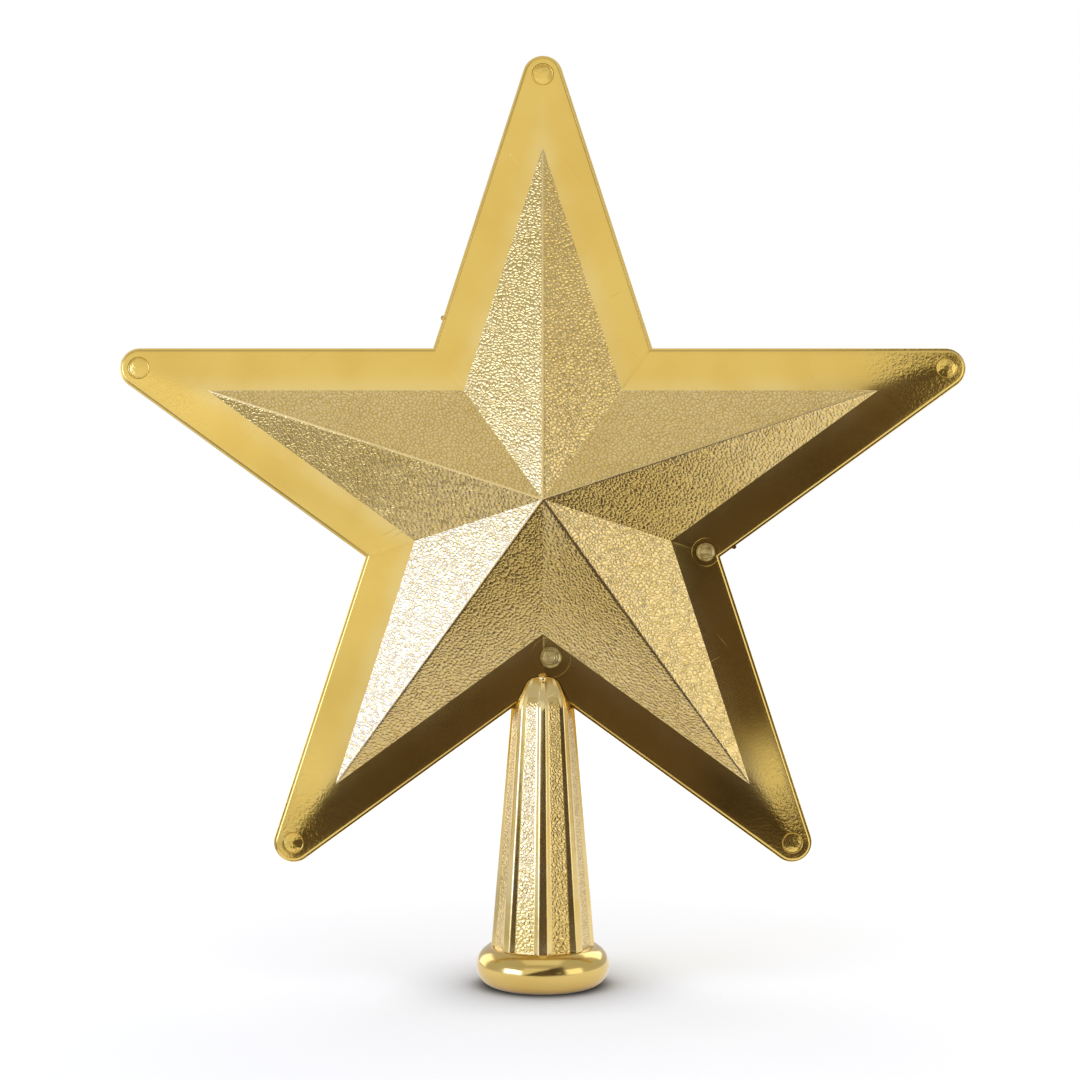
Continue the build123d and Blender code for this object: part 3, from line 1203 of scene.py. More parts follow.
        # Painted shade in the crack where the parting lip meets the wall, and on the nibs, which are painted
        # dark.
        ledge = (inset < plan.lip_width + self.weld_distance) & (depth < plan.lip_depth + 2 * plan.lip_round)
        crack = ledge & (inset > plan.lip_width - plan.lip_round)
        on_nib = inset < -self.weld_distance
        store(piece.data, PAINTED_SHADE_ATTRIBUTE, np.maximum(self.crack_painted_shade * crack, self.nib_painted_shade * on_nib))
        bloom = smooth_share(inset - plan.border_width + self.bloom_width, self.bloom_width)
        store(piece.data, BLOOM_ATTRIBUTE, bloom * (inset < plan.border_width + self.weld_distance))

    def creases(self, piece: Object) -> np.ndarray:
        """Edges that lie on a corner ray, where two borders or two facets meet in a crease.

        Args:
            piece: The shell.

        Returns:
            Whether each edge is such a crease.
        """
        along, beside, _ = self.plan.folded(self.plane_points(piece))
        off = along * math.sin(self.plan.half_step) - beside * math.cos(self.plan.half_step)
        on_ray = np.abs(off) < self.weld_distance
        ends = np.empty(len(piece.data.edges) * 2, dtype=np.int32)
        piece.data.edges.foreach_get("vertices", ends)
        return on_ray[ends.reshape(-1, 2)].all(axis=1)

    def nib(self, corner_angle: float, arm_angle: float, distance: float) -> Object:
        """Broken-off gate on the parting lip.

        Args:
            corner_angle: Angle of the inner corner's ray.
            arm_angle: Angle of the arm's tip ray.
            distance: Distance from the inner corner along the arm's edge.

        Returns:
            The closed nib in place.
        """
        plan = self.plan
        corner = np.array(plan.polar(plan.waist_radius, corner_angle))
        toward = np.array(plan.polar(plan.apex_radius, arm_angle)) - corner
        low, high, soft = plan.seam_chamfer, plan.lip_depth, self.nib_round
        profile = [(0.0, low), (self.nib_radius, low)]
        profile += arc((self.nib_radius - soft, high - soft), soft, 0, 90, self.lip_steps) + [(0.0, high)]
        nib = turned("nib", profile, self.nib_columns)
        return plan.stand(nib, tuple(corner + toward / np.linalg.norm(toward) * distance))

    def build(
        self,
        plain: Material,
        grained: Material,
        cutter: Object,
        nibs: list[tuple[float, float, float]],
    ) -> Object:
        """Build the shell, cut what passes through it and finish its surface.

        Args:
            plain: Polished finish.
            grained: Grained finish.
            cutter: Closed tool for the pins' holes and the post's seat.
            nibs: Corner angle, arm angle and distance of each gate nib.

        Returns:
            The finished shell.
        """
        piece = self.arm()
        self.arms_tree(plain, grained).run(piece)
        self.keep_masks(piece)
        self.grain_tree(plain, grained).run(piece)
        combine(piece, cutter, "DIFFERENCE")
        for nib in nibs:
            combine(piece, self.nib(*nib), "UNION")
        self.keep_masks(piece)
        mark_sharp(piece, self.crease_angle, self.creases(piece))
        return piece


@dataclass
class FlutedPost:
    """Tapered post with eight ribs, grained panels, a domed head, a tang and the trunk socket."""

    plan: StarPlan
    grain: PebbleGrain
    flute_count: int = 8
    foot_radius: float = 12.9 * MM
    shoulder_radius: float = 7.9 * MM
    shoulder_drop: float = 5.5 * MM
    head_radius: float = 3.2 * MM
    head_rise: float = 2.5 * MM
    neck_radius: float = 2.0 * MM
    neck_rise: float = 3.9 * MM
    knee_rise: float = 2.0 * MM
    cap_radius: float = 5.1 * MM
    flute_foot_depth: float = 0.8 * MM
    flute_top_depth: float = 0.5 * MM
    flute_floor_share: float = 0.5
    flute_mouth_share: float = 0.79
    seat_height: float = 9.7 * MM
    spigot_radius: float = 11.4 * MM
    spigot_foot: float = 1.3 * MM
    socket_radius: float = 10.0 * MM
    socket_land_height: float = 12.0 * MM
    socket_end_radius: float = 6.1 * MM
    socket_end_drop: float = 10.7 * MM
    socket_tip_radius: float = 3.0 * MM
    socket_top_drop: float = 3.0 * MM
    tang_width: float = 13.0 * MM
    tang_thickness: float = 2.8 * MM
    tang_rise: float = 13.3 * MM
    tang_foot_rise: float = 3.31 * MM
    seat_clearance: float = 0.1 * MM
    columns_per_flute: int = 40
    row_step: float = 0.30 * MM
    dome_rows_share: float = 1.3
    edge_soft: float = 0.16 * MM
    panel_fade: float = 0.45 * MM
    panel_top_rise: float = 0.3 * MM
    panel_top_fade: float = 3.0 * MM
    panel_edge_share: float = 0.02
    nub_radius: float = 0.95 * MM
    nub_forward: float = 4.7 * MM
    nub_angle: float = 80.0
    nub_steps: int = 10
    nub_columns: int = 24
    crease_angle: float = 40.0

    @property
    def corner_height(self) -> float:
        """Height of the star's lower inner corner."""
        return self.plan.centre_height - self.plan.waist_radius

    @property
    def shoulder_height(self) -> float:
        """Height at which the dome starts."""
        return self.corner_height - self.shoulder_drop

    @property
    def head_top(self) -> float:
        """Height of the dome's flat top."""
        return self.corner_height + self.head_rise

    def outside(self) -> Profile:
        """Half outline of the cone and the dome.

        Returns:
            The points from the foot to the dome's top edge.
        """
        slope = (self.shoulder_radius - self.foot_radius) / (self.shoulder_height - self.seat_height)
        rise = self.head_top - self.shoulder_height
        bends = np.array(
            [
                (self.shoulder_radius, self.shoulder_height),
                (self.shoulder_radius + slope * self.knee_rise, self.shoulder_height + self.knee_rise),
                (self.cap_radius, self.head_top),
                (self.head_radius, self.head_top),
            ]
        )
        rows = round((self.shoulder_height - self.seat_height) / self.row_step)
        cone = [
            (self.foot_radius + slope * (height - self.seat_height), height)
            for height in np.linspace(self.seat_height, self.shoulder_height, rows + 1)
        ]
        dome = []
        for t in np.linspace(0, 1, round(self.dome_rows_share * rise / self.row_step) + 1)[1:]:
            shares = np.array([(1 - t) ** 3, 3 * t * (1 - t) ** 2, 3 * t * t * (1 - t), t**3])
            dome.append(tuple(shares @ bends))
        return cone + dome

    def blank(self, name: str, inside: Profile) -> Object:
        """Turned blank with the post's outside and neck, before its flutes.

        Args:
            name: Name of the object.
            inside: Half outline of the rest, from the axis to the outside's foot.

        Returns:
            The closed blank, with its fluted outside marked.
        """
        outside, top = self.outside(), self.corner_height + self.neck_rise
        neck = [(self.neck_radius, self.head_top), (self.neck_radius, top), (0.0, top)]
        columns = self.flute_count * self.columns_per_flute
        piece = turned(name, inside + outside + neck, columns)
        first = columns * (len(inside) - 1) + 1
        marks = np.zeros(len(piece.data.vertices))
        marks[first : first + columns * len(outside)] = 1
        store(piece.data, OUTSIDE_ATTRIBUTE, marks)
        return piece

    def seat_cutter(self, flutes: GeometryTree) -> Object:
        """Closed tool, fluted as the post is, that cuts the head's seat out of a shell.

        Args:
            flutes: The tree that sinks the flutes.

        Returns:
            The tool, a clearance larger than the post.
        """
        piece = self.blank("head_seat", [(0.0, self.seat_height)])
        flutes.run(piece)
        piece.data.materials.clear()
        points = coordinates(piece.data)
        radius = np.hypot(points[:, 0], points[:, 1])
        grown = 1 + self.seat_clearance / np.maximum(radius, self.neck_radius)
        raised = np.clip((points[:, 2] - self.shoulder_height) / self.head_rise, 0, 1)
        points *= np.column_stack([grown, grown, np.ones(len(grown))])
        points[:, 2] += self.seat_clearance * raised
        move_to(piece, points)
        return piece

    def inside(self) -> Profile:
        """Half outline of the socket and the spigot, from the socket's end to the post's foot."""
        end = self.corner_height - self.socket_end_drop
        top = self.corner_height - self.socket_top_drop
        return [
            (0.0, top),
            (self.socket_tip_radius, top),
            (self.socket_end_radius, end),
            (self.socket_radius, self.socket_land_height),
            (self.socket_radius, self.spigot_foot),
            (self.spigot_radius, self.spigot_foot),
            (self.spigot_radius, self.seat_height),
        ]

    def flute_sizes(self, rib_radius: float, depth: float) -> tuple[float, float, float]:
        """Distance of a flute's floor from the axis, its half width and its flare at one height.

        Args:
            rib_radius: Radius of the ribs there.
            depth: Depth of the flute there.

        Returns:
            Floor distance, floor half width and flank flare.
        """
        half_pitch = math.pi / self.flute_count
        pitch = 2 * rib_radius * math.sin(half_pitch)
        floor_half = pitch * self.flute_floor_share / 2
        mouth_half = pitch * self.flute_mouth_share / 2
        floor = rib_radius * math.cos(half_pitch * self.flute_floor_share) - depth
        mouth = rib_radius * math.cos(half_pitch * self.flute_mouth_share)
        return floor, floor_half, (mouth_half - floor_half) / (mouth - floor)

    def flute_tree(self, plain: Material, grained: Material) -> GeometryTree:
        """Tree that sinks the flutes into the blank and raises the grain of their panels.

        Args:
            plain: Polished finish.
            grained: Grained finish.

        Returns:
            The tree.
        """
        foot = self.flute_sizes(self.foot_radius, self.flute_foot_depth)
        top = self.flute_sizes(self.shoulder_radius, self.flute_top_depth)
        tree = GeometryTree(
            "post_flutes",
            {
                "Flute pitch": 2 * math.pi / self.flute_count,
                "Foot height": self.seat_height,
                "Shoulder height": self.shoulder_height,
                "Foot floor": foot[0],
                "Top floor": top[0],
                "Foot half width": foot[1],
                "Top half width": top[1],
                "Foot flare": foot[2],
                "Top flare": top[2],
                "Edge softness": self.edge_soft,
                "Panel fade": self.panel_fade,
                "Panel top": self.shoulder_height + self.panel_top_rise,
                "Panel top fade": self.panel_top_fade,
                "Grain height": self.grain.height * self.grain.lift_share,
                "Foot radius": self.foot_radius,
                "Top radius": self.shoulder_radius,
            },
        )
        bench, size = tree.bench, tree.size
        place = bench.add("GeometryNodeInputPosition").outputs[0]
        parts = bench.parts(place)
        angle = bench.math("ARCTAN2", parts[1], parts[0])
        flat = bench.add("ShaderNodeCombineXYZ", {"X": parts[0], "Y": parts[1]}).outputs[0]
        radius = bench.number("LENGTH", flat)
        pitches = bench.math("DIVIDE", angle, size("Flute pitch"))
        turns = bench.math("FRACT", bench.math("ADD", pitches, float(self.flute_count)))
        off_middle = bench.product(bench.math("SUBTRACT", turns, 0.5), size("Flute pitch"))
        aside = bench.math("ABSOLUTE", off_middle)
        cosine, sine = bench.math("COSINE", aside), bench.math("SINE", aside)

        def along(name: str) -> Socket:
            """A flute's size at this height."""
            heights = (size("Foot height"), size("Shoulder height"))
            return bench.between(parts[2], *heights, size(f"Foot {name}"), size(f"Top {name}"))

        on_dome = bench.math("MINIMUM", bench.math("DIVIDE", radius, along("radius")), 1.0)
        floor = bench.product(along("floor"), on_dome)
        half_width = bench.product(along("half width"), on_dome)
        flare = along("flare")
        floor_radius = bench.math("DIVIDE", floor, cosine)
        reach = bench.math("SUBTRACT", bench.product(flare, floor), half_width)
        lean = bench.math("SUBTRACT", bench.product(flare, cosine), sine)
        flank_radius = bench.math("DIVIDE", reach, lean)
        cut = bench.math("SMOOTH_MAX", floor_radius, flank_radius, size("Edge softness"))
        sunk = bench.math("SMOOTH_MIN", radius, cut, size("Edge softness"))

        outer = bench.named(OUTSIDE_ATTRIBUTE)
        sunk_depth = bench.math("SUBTRACT", radius, sunk)
        beside = bench.math("SUBTRACT", half_width, bench.product(sunk, sine))
        foot_end = bench.math("ADD", size("Foot height"), size("Panel fade"))
        top_end = bench.math("ADD", size("Panel top"), size("Panel top fade"))
        panel = bench.product(
            bench.rise(beside, 0.0, size("Panel fade")),
            bench.rise(sunk_depth, 0.0, size("Edge softness")),
            bench.rise(parts[2], size("Foot height"), foot_end),
            bench.fall(parts[2], size("Panel top"), top_end),
            outer,
        )
        raised = self.grain.lift(bench, place, panel, size("Grain height"))
        ratio = bench.math("DIVIDE", bench.math("ADD", sunk, raised), radius)
        move = bench.product(bench.math("SUBTRACT", ratio, 1.0), outer)

        kept = bench.add(
            "GeometryNodeStoreNamedAttribute",
            {"Geometry": size("Geometry"), "Name": GRAIN_ATTRIBUTE, "Value": panel},
            data_type="FLOAT",
        ).outputs[0]
        moved = bench.add(
            "GeometryNodeSetPosition", {"Geometry": kept, "Offset": bench.scaled(flat, move)}
        ).outputs[0]
        in_panel = bench.math("GREATER_THAN", bench.named(GRAIN_ATTRIBUTE), self.panel_edge_share)
        tree.dress(moved, plain, grained, in_panel)
        return tree

    def nub(self) -> Object:
        """Small broken-off gate on the front of the dome's top."""
        middle = (0.0, self.head_top - self.nub_radius / 2)
        bow = arc(middle, self.nub_radius, -self.nub_angle, self.nub_angle, self.nub_steps)
        piece = turned("nub", [(0.0, bow[0][1]), *bow, (0.0, bow[-1][1])], self.nub_columns)
        move_to(piece, coordinates(piece.data) - [0, self.nub_forward, 0])
        return piece

    def tang(self) -> Object:
        """Flat tang on the head, held between the shells."""
        low, high = self.corner_height + self.tang_foot_rise, self.corner_height + self.tang_rise
        x, y = self.tang_width / 2, self.tang_thickness / 2
        ring = [(-x, -y), (x, -y), (x, y), (-x, y)]
        vertices = np.array([(*p, low) for p in ring] + [(*p, high) for p in ring])
        sides = [(i, (i + 1) % 4, (i + 1) % 4 + 4, i + 4) for i in range(4)]
        return new_piece("tang", vertices, [(3, 2, 1, 0), (4, 5, 6, 7), *sides])

    def build(self, flutes: GeometryTree) -> Object:
        """Build and finish the post.

        Args:
            flutes: The tree that sinks the flutes and sets the finishes.

        Returns:
            The finished post.
        """
        piece = self.blank("fluted_post_skin", self.inside())
        flutes.run(piece)
        combine(piece, self.tang(), "UNION")
        combine(piece, self.nub(), "UNION")
        mark_sharp(piece, self.crease_angle)
        return piece


@dataclass
class BeadRing:
    """Polished bead ring that the post's spigot stands in."""

    post: FlutedPost
    bead_radius: float = 16.7 * MM
    round_radius: float = 5.1 * MM
    round_height: float = 5.0 * MM
    lip_height: float = 1.2 * MM
    spigot_gap: float = 0.1 * MM
    edge_round: float = 0.25 * MM
    columns: int = 160
    round_steps: int = 40
    crease_angle: float = 40.0

    def build(self, plain: Material) -> Object:
        """Build and finish the ring.

        Args:
            plain: Polished finish.

        Returns:
            The finished ring.
        """
        centre = (self.bead_radius - self.round_radius, self.round_height)
        seat = self.post.seat_height
        low = -math.degrees(math.asin(self.round_height / self.round_radius))
        high = math.degrees(math.asin((seat - self.round_height) / self.round_radius))
        bore = self.post.spigot_radius + self.spigot_gap
        mouth = self.post.socket_radius
        profile = arc(centre, self.round_radius, low, high, self.round_steps)
        profile += [
            (bore + self.edge_round, seat),
            (bore, seat - self.edge_round),
            (bore, self.lip_height),
            (mouth, self.lip_height),
            (mouth, self.edge_round),
            (mouth + self.edge_round, 0.0),
        ]
        piece = turned("base_ring_skin", profile, self.columns, looped=True)
        piece.data.materials.append(plain)
        mark_sharp(piece, self.crease_angle)
        return piece


@dataclass
class JoiningPin:
    """Pin that joins the two shells, with a dished end just under the front border."""

    node: str
    plan: StarPlan
    centre: tuple[float, float]
    radius: float
    rim_distance: float
    look: PinLook
    hole_clearance: float = 0.05 * MM
    recess: float = 0.2 * MM
    dish_depth: float = 0.3 * MM
    lip: float = 0.5 * MM
    plated_lip: float = 0.34 * MM
    edge_round: float = 0.14 * MM
    blind_floor: float = 1.3 * MM
    foot_gap: float = 0.1 * MM
    columns: int = 64
    edge_steps: int = 4
    turning_rings: int = 4
    rows_per_ring: int = 8
    ring_height: float = 0.035 * MM
    button_height: float = 0.27 * MM
    crease_angle: float = 50.0

    @property
    def face(self) -> float:
        """Depth of the border around the pin."""
        return self.plan.border_depth(self.rim_distance)

    def hole(self, side: Side) -> Object:
        """Closed tool for the pin's hole: through the front shell, blind in the back one."""
        through = self.face + self.plan.edge_depth if side is Side.FRONT else self.face - self.blind_floor
        radius = self.radius + self.hole_clearance
        below = -self.plan.edge_depth
        profile = [(0.0, below), (radius, below), (radius, through), (0.0, through)]
        tool = turned("hole", profile, self.columns)
        return self.plan.stand(tool, self.centre, 1 if side is Side.FRONT else -1)

    def floor_rise(self, share: float) -> float:
        """Height of the dish's floor: turning rings on a bare pin, a low dome on a plated one.

        Args:
            share: Distance from the pin's axis as a share of the dish's radius.

        Returns:
            The height above the dish's depth.
        """
        if self.look is PinLook.BARE:
            return self.ring_height * math.cos(2 * math.pi * self.turning_rings * share)
        return self.button_height * (1 - share**2)

    def build(self, material: Material) -> Object:
        """Build and finish the pin.

        Args:
            material: Its finish.

        Returns:
            The finished pin.
        """
        low = -(self.face - self.blind_floor) + self.foot_gap
        high = self.face - self.recess
        soft = self.edge_round
        dish = self.radius - (self.lip if self.look is PinLook.BARE else self.plated_lip)
        profile = [(0.0, low), (self.radius - soft, low), (self.radius, low + soft)]
        profile += arc((self.radius - soft, high - soft), soft, 0, 90, self.edge_steps)
        profile += arc((dish + soft, high - soft), soft, 90, 180, self.edge_steps)
        floor = high - self.dish_depth
        steps = self.rows_per_ring * self.turning_rings
        for step in range(steps):
            share = 1 - (step + 0.5) / steps
            profile.append((dish * share, floor + self.floor_rise(share)))
        profile.append((0.0, floor + self.floor_rise(0.0)))
        piece = self.plan.stand(turned(f"{self.node}_turned", profile, self.columns), self.centre)
        piece.data.materials.append(material)
        mark_sharp(piece, self.crease_angle)
        return piece


@dataclass
class Topper:
    """The whole tree topper: shells, post, ring and pins with their finishes."""

    plan: StarPlan
    tip_pin_radius: float = 2.7 * MM
    corner_pin_radius: float = 2.4 * MM
    lock_pin_radius: float = 2.7 * MM
    corner_pin_distance: float = 3.9 * MM
    lock_pin_offset: float = 2.0 * MM
    lock_pin_rise: float = 7.2 * MM
    corner_witness: tuple[float, float] = (3.5 * MM, 0.013 * MM)
    lock_witness: tuple[float, float] = (5.0 * MM, 0.007 * MM)
    frost_start: float = 80.0 * MM
    frost_full: float = 99.0 * MM
    top_nib_distance: float = 8.0 * MM
    right_nib_distance: float = 4.3 * MM
    panel_wrap_radius: float = 10.0 * MM

    def pins(self) -> list[JoiningPin]:
        """All joining pins.

        Returns:
            Five plated pins at the tips and two bare ones at inner corners.
        """
        plan = self.plan
        tip_pins = [
            JoiningPin(
                f"tip_pin_{arm.name.lower()}",
                plan,
                plan.polar(plan.tip_centre_radius, plan.tip_angle(arm)),
                self.tip_pin_radius,
                plan.tip_radius,
                PinLook.PLATED,
            )
            for arm in Arm
        ]
        notch = math.sin(math.pi / 2 + plan.half_step)
        corner_angle = plan.tip_angle(Arm.RIGHT) - plan.half_step
        corner_pin = JoiningPin(
            "corner_pin_right",
            plan,
            plan.polar(plan.waist_radius - self.corner_pin_distance, corner_angle),
            self.corner_pin_radius,
            self.corner_pin_distance * notch,
            PinLook.BARE,
        )
        lock_pin = JoiningPin(
            "post_lock_pin",
            plan,
            (self.lock_pin_offset, self.lock_pin_rise - plan.waist_radius),
            self.lock_pin_radius,
            self.lock_pin_rise * notch,
            PinLook.BARE,
        )
        return [*tip_pins, corner_pin, lock_pin]

    def nibs(self) -> list[tuple[float, float, float]]:
        """Corner angle, arm angle and distance of each moulding gate left on the front shell."""
        top, right = self.plan.tip_angle(Arm.TOP), self.plan.tip_angle(Arm.RIGHT)
        return [
            (top + self.plan.half_step, top, self.top_nib_distance),
            (right - self.plan.half_step, right, self.right_nib_distance),
        ]

    def cutter(
        self, side: Side, post: FlutedPost, flutes: GeometryTree, pins: list[JoiningPin]
    ) -> Object:
        """One closed tool for all that passes through a shell.

        Args:
            side: Which shell it is for.
            post: The post, whose head and tang are let in.
            flutes: The tree that sinks the post's flutes.
            pins: The pins.

        Returns:
            The joined tool.
        """
        tool = post.seat_cutter(flutes)
        for other in [post.tang(), *[pin.hole(side) for pin in pins]]:
            combine(tool, other, "UNION")
        return tool

    def finishes(
        self, pins: list[JoiningPin], grain: PebbleGrain, panel_grain: PebbleGrain
    ) -> dict[str, Material]:
        """All plated finishes.

        Args:
            pins: The pins; the last two have witness circles around them.
            grain: Grain of the star's facets.
            panel_grain: Grain of the post's panels.

        Returns:
            The material of each finish by its name.
        """
        witness = tuple(
            WitnessLine(self.plan.place(pin.centre), *sizes)
            for pin, sizes in zip(pins[-2:], (self.corner_witness, self.lock_witness))
        )
        frost = TipFrost(self.plan.place((0.0, 0.0)), self.frost_start, self.frost_full)
        plated = (
            PlatedFinish(
                "star_polished", *GOLD, roughness=0.13, roughness_spread=0.06, witness=witness, frost=frost
            ),
            PlatedFinish(
                "star_grained",
                *PALE_GOLD,
                roughness=0.22,
                roughness_spread=0.06,
                coat=1.0,
                coat_index=2.1,
                coat_roughness=0.2,
                grain=grain,
            ),
            PlatedFinish(
                "post_polished",
                *CHAMPAGNE,
                roughness=0.2,
                roughness_spread=0.08,
                ripple_size=4.0 * MM,
                ripple_height=0.06 * MM,
            ),
            PlatedFinish(
                "post_grained",
                *PALE_GOLD,
                roughness=0.2,
                roughness_spread=0.06,
                coat=0.7,
                coat_index=1.8,
                grain=panel_grain,
            ),
            PlatedFinish(
                "ring_polished",
                *PALE_GOLD,
                roughness=0.17,
                roughness_spread=0.08,
                ripple_size=5.0 * MM,
                ripple_height=0.07 * MM,
            ),
            PlatedFinish(
                "pin_plated",
                *GOLD,
                roughness=0.2,
                roughness_spread=0.10,
                peel_size=0.9 * MM,
                peel_height=0.11 * MM,
            ),
        )
        return {finish.name: finish.material() for finish in plated}

    def build(self) -> None:
        """Build every piece, finish it and let it stand for its node."""
        grain, panel_grain = PebbleGrain(), PebbleGrain(wrap_radius=self.panel_wrap_radius)
        post, pins = FlutedPost(self.plan, panel_grain), self.pins()
        looks = self.finishes(pins, grain, panel_grain)
        flutes = post.flute_tree(looks["post_polished"], looks["post_grained"])
        for side in Side:
            cutter = self.cutter(side, post, flutes, pins)
            nibs = self.nibs() if side is Side.FRONT else []
            shell = StarShell(self.plan, side, grain)
            piece = shell.build(looks["star_polished"], looks["star_grained"], cutter, nibs)
            ride_as(piece, f"star_{side.value}_shell")
        ride_as(post.build(flutes), "fluted_post")
        ride_as(BeadRing(post).build(looks["ring_polished"]), "base_ring")
        for pin in pins:
            if pin.look is PinLook.PLATED:
                ride_as(pin.build(looks["pin_plated"]), pin.node)
                continue
            bare = BareMetalFinish(f"{pin.node}_metal", self.plan.place(pin.centre))
            ride_as(pin.build(bare.material()), pin.node)


@dataclass(frozen=True)
class Softbox:
    """Soft rectangular lamp that points at the star and that the camera doesn't see.

    Its place is given by the degrees to the right of the camera, as seen from the star, and the
    degrees above the star. A level of 1 makes its face white.
    """

    name: str
    degrees_right: float
    degrees_up: float
    distance: float
    width: float
    height: float
    level: float
    colour: tuple[float, float, float] = (1.0, 1.0, 1.0)

    def hang(self, star_height: float) -> None:
        """Add the lamp to the scene, around the height of the star's centre."""
        data = bpy.data.lights.new(self.name, "AREA")
        data.shape = "RECTANGLE"
        data.size, data.size_y = self.width, self.height
        data.energy = self.level * math.pi * self.width * self.height
        data.color = self.colour
        lamp = bpy.data.objects.new(self.name, data)
        right, up = math.radians(self.degrees_right), math.radians(self.degrees_up)
        out = Vector((math.sin(right) * math.cos(up), -math.cos(right) * math.cos(up), math.sin(up)))
        lamp.location = out * self.distance + Vector((0, 0, star_height))
        lamp.rotation_euler = out.to_track_quat("Z", "Y").to_euler()
        lamp.visible_camera = False
        bpy.context.scene.collection.objects.link(lamp)


@dataclass
class Studio:
    """Plain white studio: floor, white surroundings, soft lamps, a dark flag and the camera."""

    plan: StarPlan
    camera_distance: float = 576.0 * MM
    lens: float = 76.7
    sensor: float = 36.0
    shift_x: float = -0.0026
    shift_y: float = -0.0377
    clip: tuple[float, float] = (10 * MM, 50.0)
    lamps: tuple[Softbox, ...] = (
        Softbox("left_softbox", -53, -4, 0.85, 0.50, 0.52, 3.2, (0.72, 0.98, 2.12)),
        Softbox("right_softbox", 52, 0, 0.85, 0.60, 0.52, 1.0),
        Softbox("front_panel", -8, 14, 0.95, 0.90, 0.60, 0.38),
        Softbox("top_panel", 0, 70, 0.80, 0.80, 0.50, 0.35),
        Softbox("back_left_softbox", -130, 10, 0.85, 0.40, 0.50, 1.4),
        Softbox("back_right_softbox", 140, 25, 0.85, 0.40, 0.50, 1.4),
    )
    floor_size: float = 12.0
    world_seen: float = 1.0
    world_mirrored: float = 0.60
    world_soft: float = 0.95
    floor_white: float = 0.88
    floor_mirrored_near: float = 0.98
    floor_mirrored_left: float = 0.36
    floor_left: tuple[float, float] = (-0.15, -0.11)
    floor_left_reach: tuple[float, float] = (0.26, 0.40)
    floor_mirrored_far: float = 0.90
    floor_glow: float = 0.22
    floor_glow_near: float = 0.04
    # Reach and strength of the painted contact shadow on the floor.
    painted_shadow_reach: float = 30.0 * MM
    painted_shadow_power: float = 1.6
    floor_near: float = 0.08
    floor_far: float = 0.45
    flag_distance: float = 190.0 * MM
    flag_right: float = 163.0 * MM
    flag_offset: float = 20.0 * MM
    flag_soft: float = 8.0 * MM
    card_left: float = -84.0 * MM
    card_near: float = -80.0 * MM
    card_lift: float = 0.4 * MM
    card_soft: float = 12.0 * MM
    flag_lean: tuple[float, float] = (0.619, -0.785)
    flag_gap: tuple[float, float] = (100.0 * MM, -86.0 * MM)
    flag_gap_radius: float = 19.0 * MM
    flag_colour: Colour = (0.115, 0.085, 0.078, 1.0)
    flag_deep_colour: Colour = (0.045, 0.036, 0.032, 1.0)
    flag_blotch: float = 50.0 * MM
    flag_blotch_range: tuple[float, float] = (0.35, 0.65)

    def world(self) -> None:
        """White surroundings, plain white to the camera and softer as light."""
        world = bpy.data.worlds.new("studio")
        bpy.context.scene.world = world
        world.use_nodes = True
        world.node_tree.nodes.clear()
        bench = NodeBench(world.node_tree)
        path = bench.add("ShaderNodeLightPath").outputs
        mirrored = bench.math("MAXIMUM", path["Is Glossy Ray"], path["Is Transmission Ray"])
        level = bench.between(mirrored, 0.0, 1.0, self.world_soft, self.world_mirrored)
        seen = bench.between(path["Is Camera Ray"], 0.0, 1.0, level, self.world_seen)
        sky = bench.add("ShaderNodeBackground", {"Color": (1.0, 1.0, 1.0, 1.0), "Strength": seen})
        bench.add("ShaderNodeOutputWorld", {"Surface": sky.outputs[0]})

    def floor(self) -> None:
        """Pale floor that stays white to the camera and keeps the object's shadow, deepened by a painted
        contact shadow from ambient occlusion.
        """
        half = self.floor_size / 2
        corners = np.array([(-half, -half, 0), (half, -half, 0), (half, half, 0), (-half, half, 0)])
        piece = new_piece("floor", corners, [(0, 1, 2, 3)])
        material, bench, place = new_material("floor_white")
        away = bench.number("LENGTH", place)
        far = bench.rise(away, self.floor_near, self.floor_far)
        from_camera = bench.add("ShaderNodeLightPath").outputs["Is Camera Ray"]
        left = bench.fall(bench.parts(place)[0], *self.floor_left)
        left = bench.product(left, bench.fall(away, *self.floor_left_reach))
        mirrored = bench.product(
            bench.between(far, 0.0, 1.0, self.floor_mirrored_near, self.floor_mirrored_far),
            bench.between(left, 0.0, 1.0, 1.0, self.floor_mirrored_left),
        )
        # Painted contact shadow: the floor that the camera sees is darkened by ambient occlusion near the
        # object.
        painted_shadow = bench.add("ShaderNodeAmbientOcclusion", {"Distance": self.painted_shadow_reach}).outputs["AO"]
        seen = bench.product(bench.math("POWER", painted_shadow, self.painted_shadow_power), self.floor_white)
        white = bench.between(from_camera, 0.0, 1.0, mirrored, seen)
        paper = bench.add("ShaderNodeBsdfDiffuse", {"Color": white})
        glow = bench.between(far, 0.0, 1.0, self.floor_glow_near, self.floor_glow)
        glow = bench.product(from_camera, glow)
        lift = bench.add("ShaderNodeEmission", {"Color": (1.0, 1.0, 1.0, 1.0), "Strength": glow})
        both = bench.add("ShaderNodeAddShader", {0: paper.outputs[0], 1: lift.outputs[0]})
        bench.add("ShaderNodeOutputMaterial", {"Surface": both.outputs[0]})
        piece.data.materials.append(material)

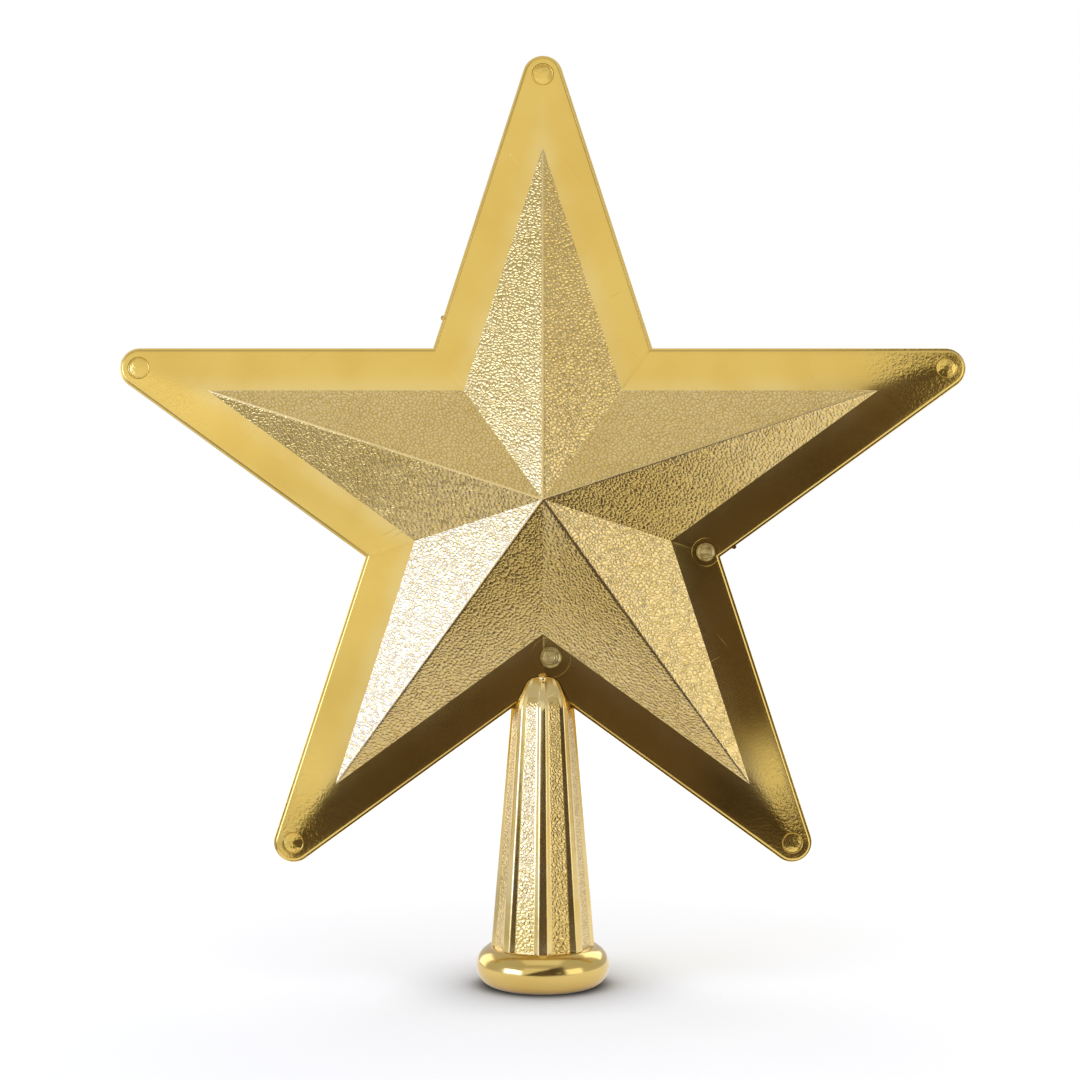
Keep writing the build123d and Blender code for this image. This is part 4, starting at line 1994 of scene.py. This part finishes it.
    def cloth(self, name: str, cover: Callable[[NodeBench, Socket], Socket]) -> Material:
        """Dark cloth with faint blotches that thins out towards the edges of its cover.

        Args:
            name: Name of the material.
            cover: Method that gives how much of the cloth covers a place.

        Returns:
            The material.
        """
        material, bench, place = new_material(name)
        blotch = bench.rise(bench.noise(place, self.flag_blotch, 1.0), *self.flag_blotch_range)
        colour = bench.mixed(blotch, self.flag_deep_colour, self.flag_colour)
        dark = bench.add("ShaderNodeBsdfDiffuse", {"Color": colour})
        clear = bench.add("ShaderNodeBsdfTransparent")
        inputs = {0: cover(bench, place), 1: clear.outputs[0], 2: dark.outputs[0]}
        mixed = bench.add("ShaderNodeMixShader", inputs)
        bench.add("ShaderNodeOutputMaterial", {"Surface": mixed.outputs[0]})
        return material

    def flag_cover(self, bench: NodeBench, place: Socket) -> Socket:
        """Cover of the standing flag: all but its leaning edge, its right edge and a small gap."""
        lean = (self.flag_lean[0], 0.0, self.flag_lean[1])
        centred = bench.vector("SUBTRACT", place, (0.0, 0.0, self.plan.centre_height))
        beyond = bench.number("DOT_PRODUCT", centred, lean)
        cover = bench.rise(beyond, self.flag_offset, self.flag_offset + self.flag_soft)
        middle = (self.flag_gap[0], -self.flag_distance, self.flag_gap[1])
        from_gap = bench.number("DISTANCE", centred, middle)
        gap = bench.rise(from_gap, self.flag_gap_radius / 2, self.flag_gap_radius)
        to_end = bench.math("SUBTRACT", self.flag_right, bench.parts(place)[0])
        return bench.product(cover, gap, bench.rise(to_end, 0.0, self.card_soft))

    def card_cover(self, bench: NodeBench, place: Socket) -> Socket:
        """Cover of the card on the floor: all but soft left, right and near edges."""
        parts = bench.parts(place)
        left = bench.rise(bench.math("SUBTRACT", parts[0], self.card_left), 0.0, self.card_soft)
        right = bench.rise(bench.math("SUBTRACT", self.flag_right, parts[0]), 0.0, self.card_soft)
        near = bench.rise(bench.math("SUBTRACT", self.card_near, parts[1]), 0.0, self.card_soft)
        return bench.product(left, right, near)

    def flag(self) -> None:
        """Dark flag low on the right and a dark card on the floor, which the polished border mirrors."""
        lean_x, lean_z = self.flag_lean
        floor_z = -self.plan.centre_height
        top = (lean_x * self.flag_right - self.flag_offset) / -lean_z
        left = (self.flag_offset - lean_z * floor_z) / lean_x
        outline = [(self.flag_right, top), (self.flag_right, floor_z), (left, floor_z)]
        corners = [(x, -self.flag_distance, z + self.plan.centre_height) for x, z in outline]
        flag = new_piece("dark_flag", np.array(corners), [(0, 1, 2)])
        flag.data.materials.append(self.cloth("flag_cloth", self.flag_cover))
        x, y = (self.card_left, self.flag_right), (-self.flag_distance, self.card_near)
        corners = [(x[0], y[0]), (x[1], y[0]), (x[1], y[1]), (x[0], y[1])]
        card = new_piece("dark_card", np.array([(*c, self.card_lift) for c in corners]), [(0, 1, 2, 3)])
        card.data.materials.append(self.cloth("card_cloth", self.card_cover))
        for piece in (flag, card):
            piece.visible_camera = False
            piece.visible_diffuse = False
            piece.visible_shadow = False

    def camera(self) -> None:
        """Camera level with the star's centre, straight in front of it."""
        data = bpy.data.cameras.new("camera")
        data.lens, data.sensor_width = self.lens, self.sensor
        data.shift_x, data.shift_y = self.shift_x, self.shift_y
        data.clip_start, data.clip_end = self.clip
        camera = bpy.data.objects.new("camera", data)
        camera.location = (0.0, -self.camera_distance, self.plan.centre_height)
        camera.rotation_euler = (math.pi / 2, 0.0, 0.0)
        bpy.context.scene.collection.objects.link(camera)
        bpy.context.scene.camera = camera

    def build(self) -> None:
        """Set up the studio."""
        bpy.context.scene.view_settings.view_transform = "Standard"
        self.world()
        self.floor()
        self.flag()
        for lamp in self.lamps:
            lamp.hang(self.plan.centre_height)
        self.camera()


def main() -> None:
    """Build the topper and its studio."""
    logging.basicConfig(level=logging.INFO, format="%(message)s")
    plan = StarPlan()
    Topper(plan).build()
    Studio(plan).build()


if __name__ == "__main__":
    main()
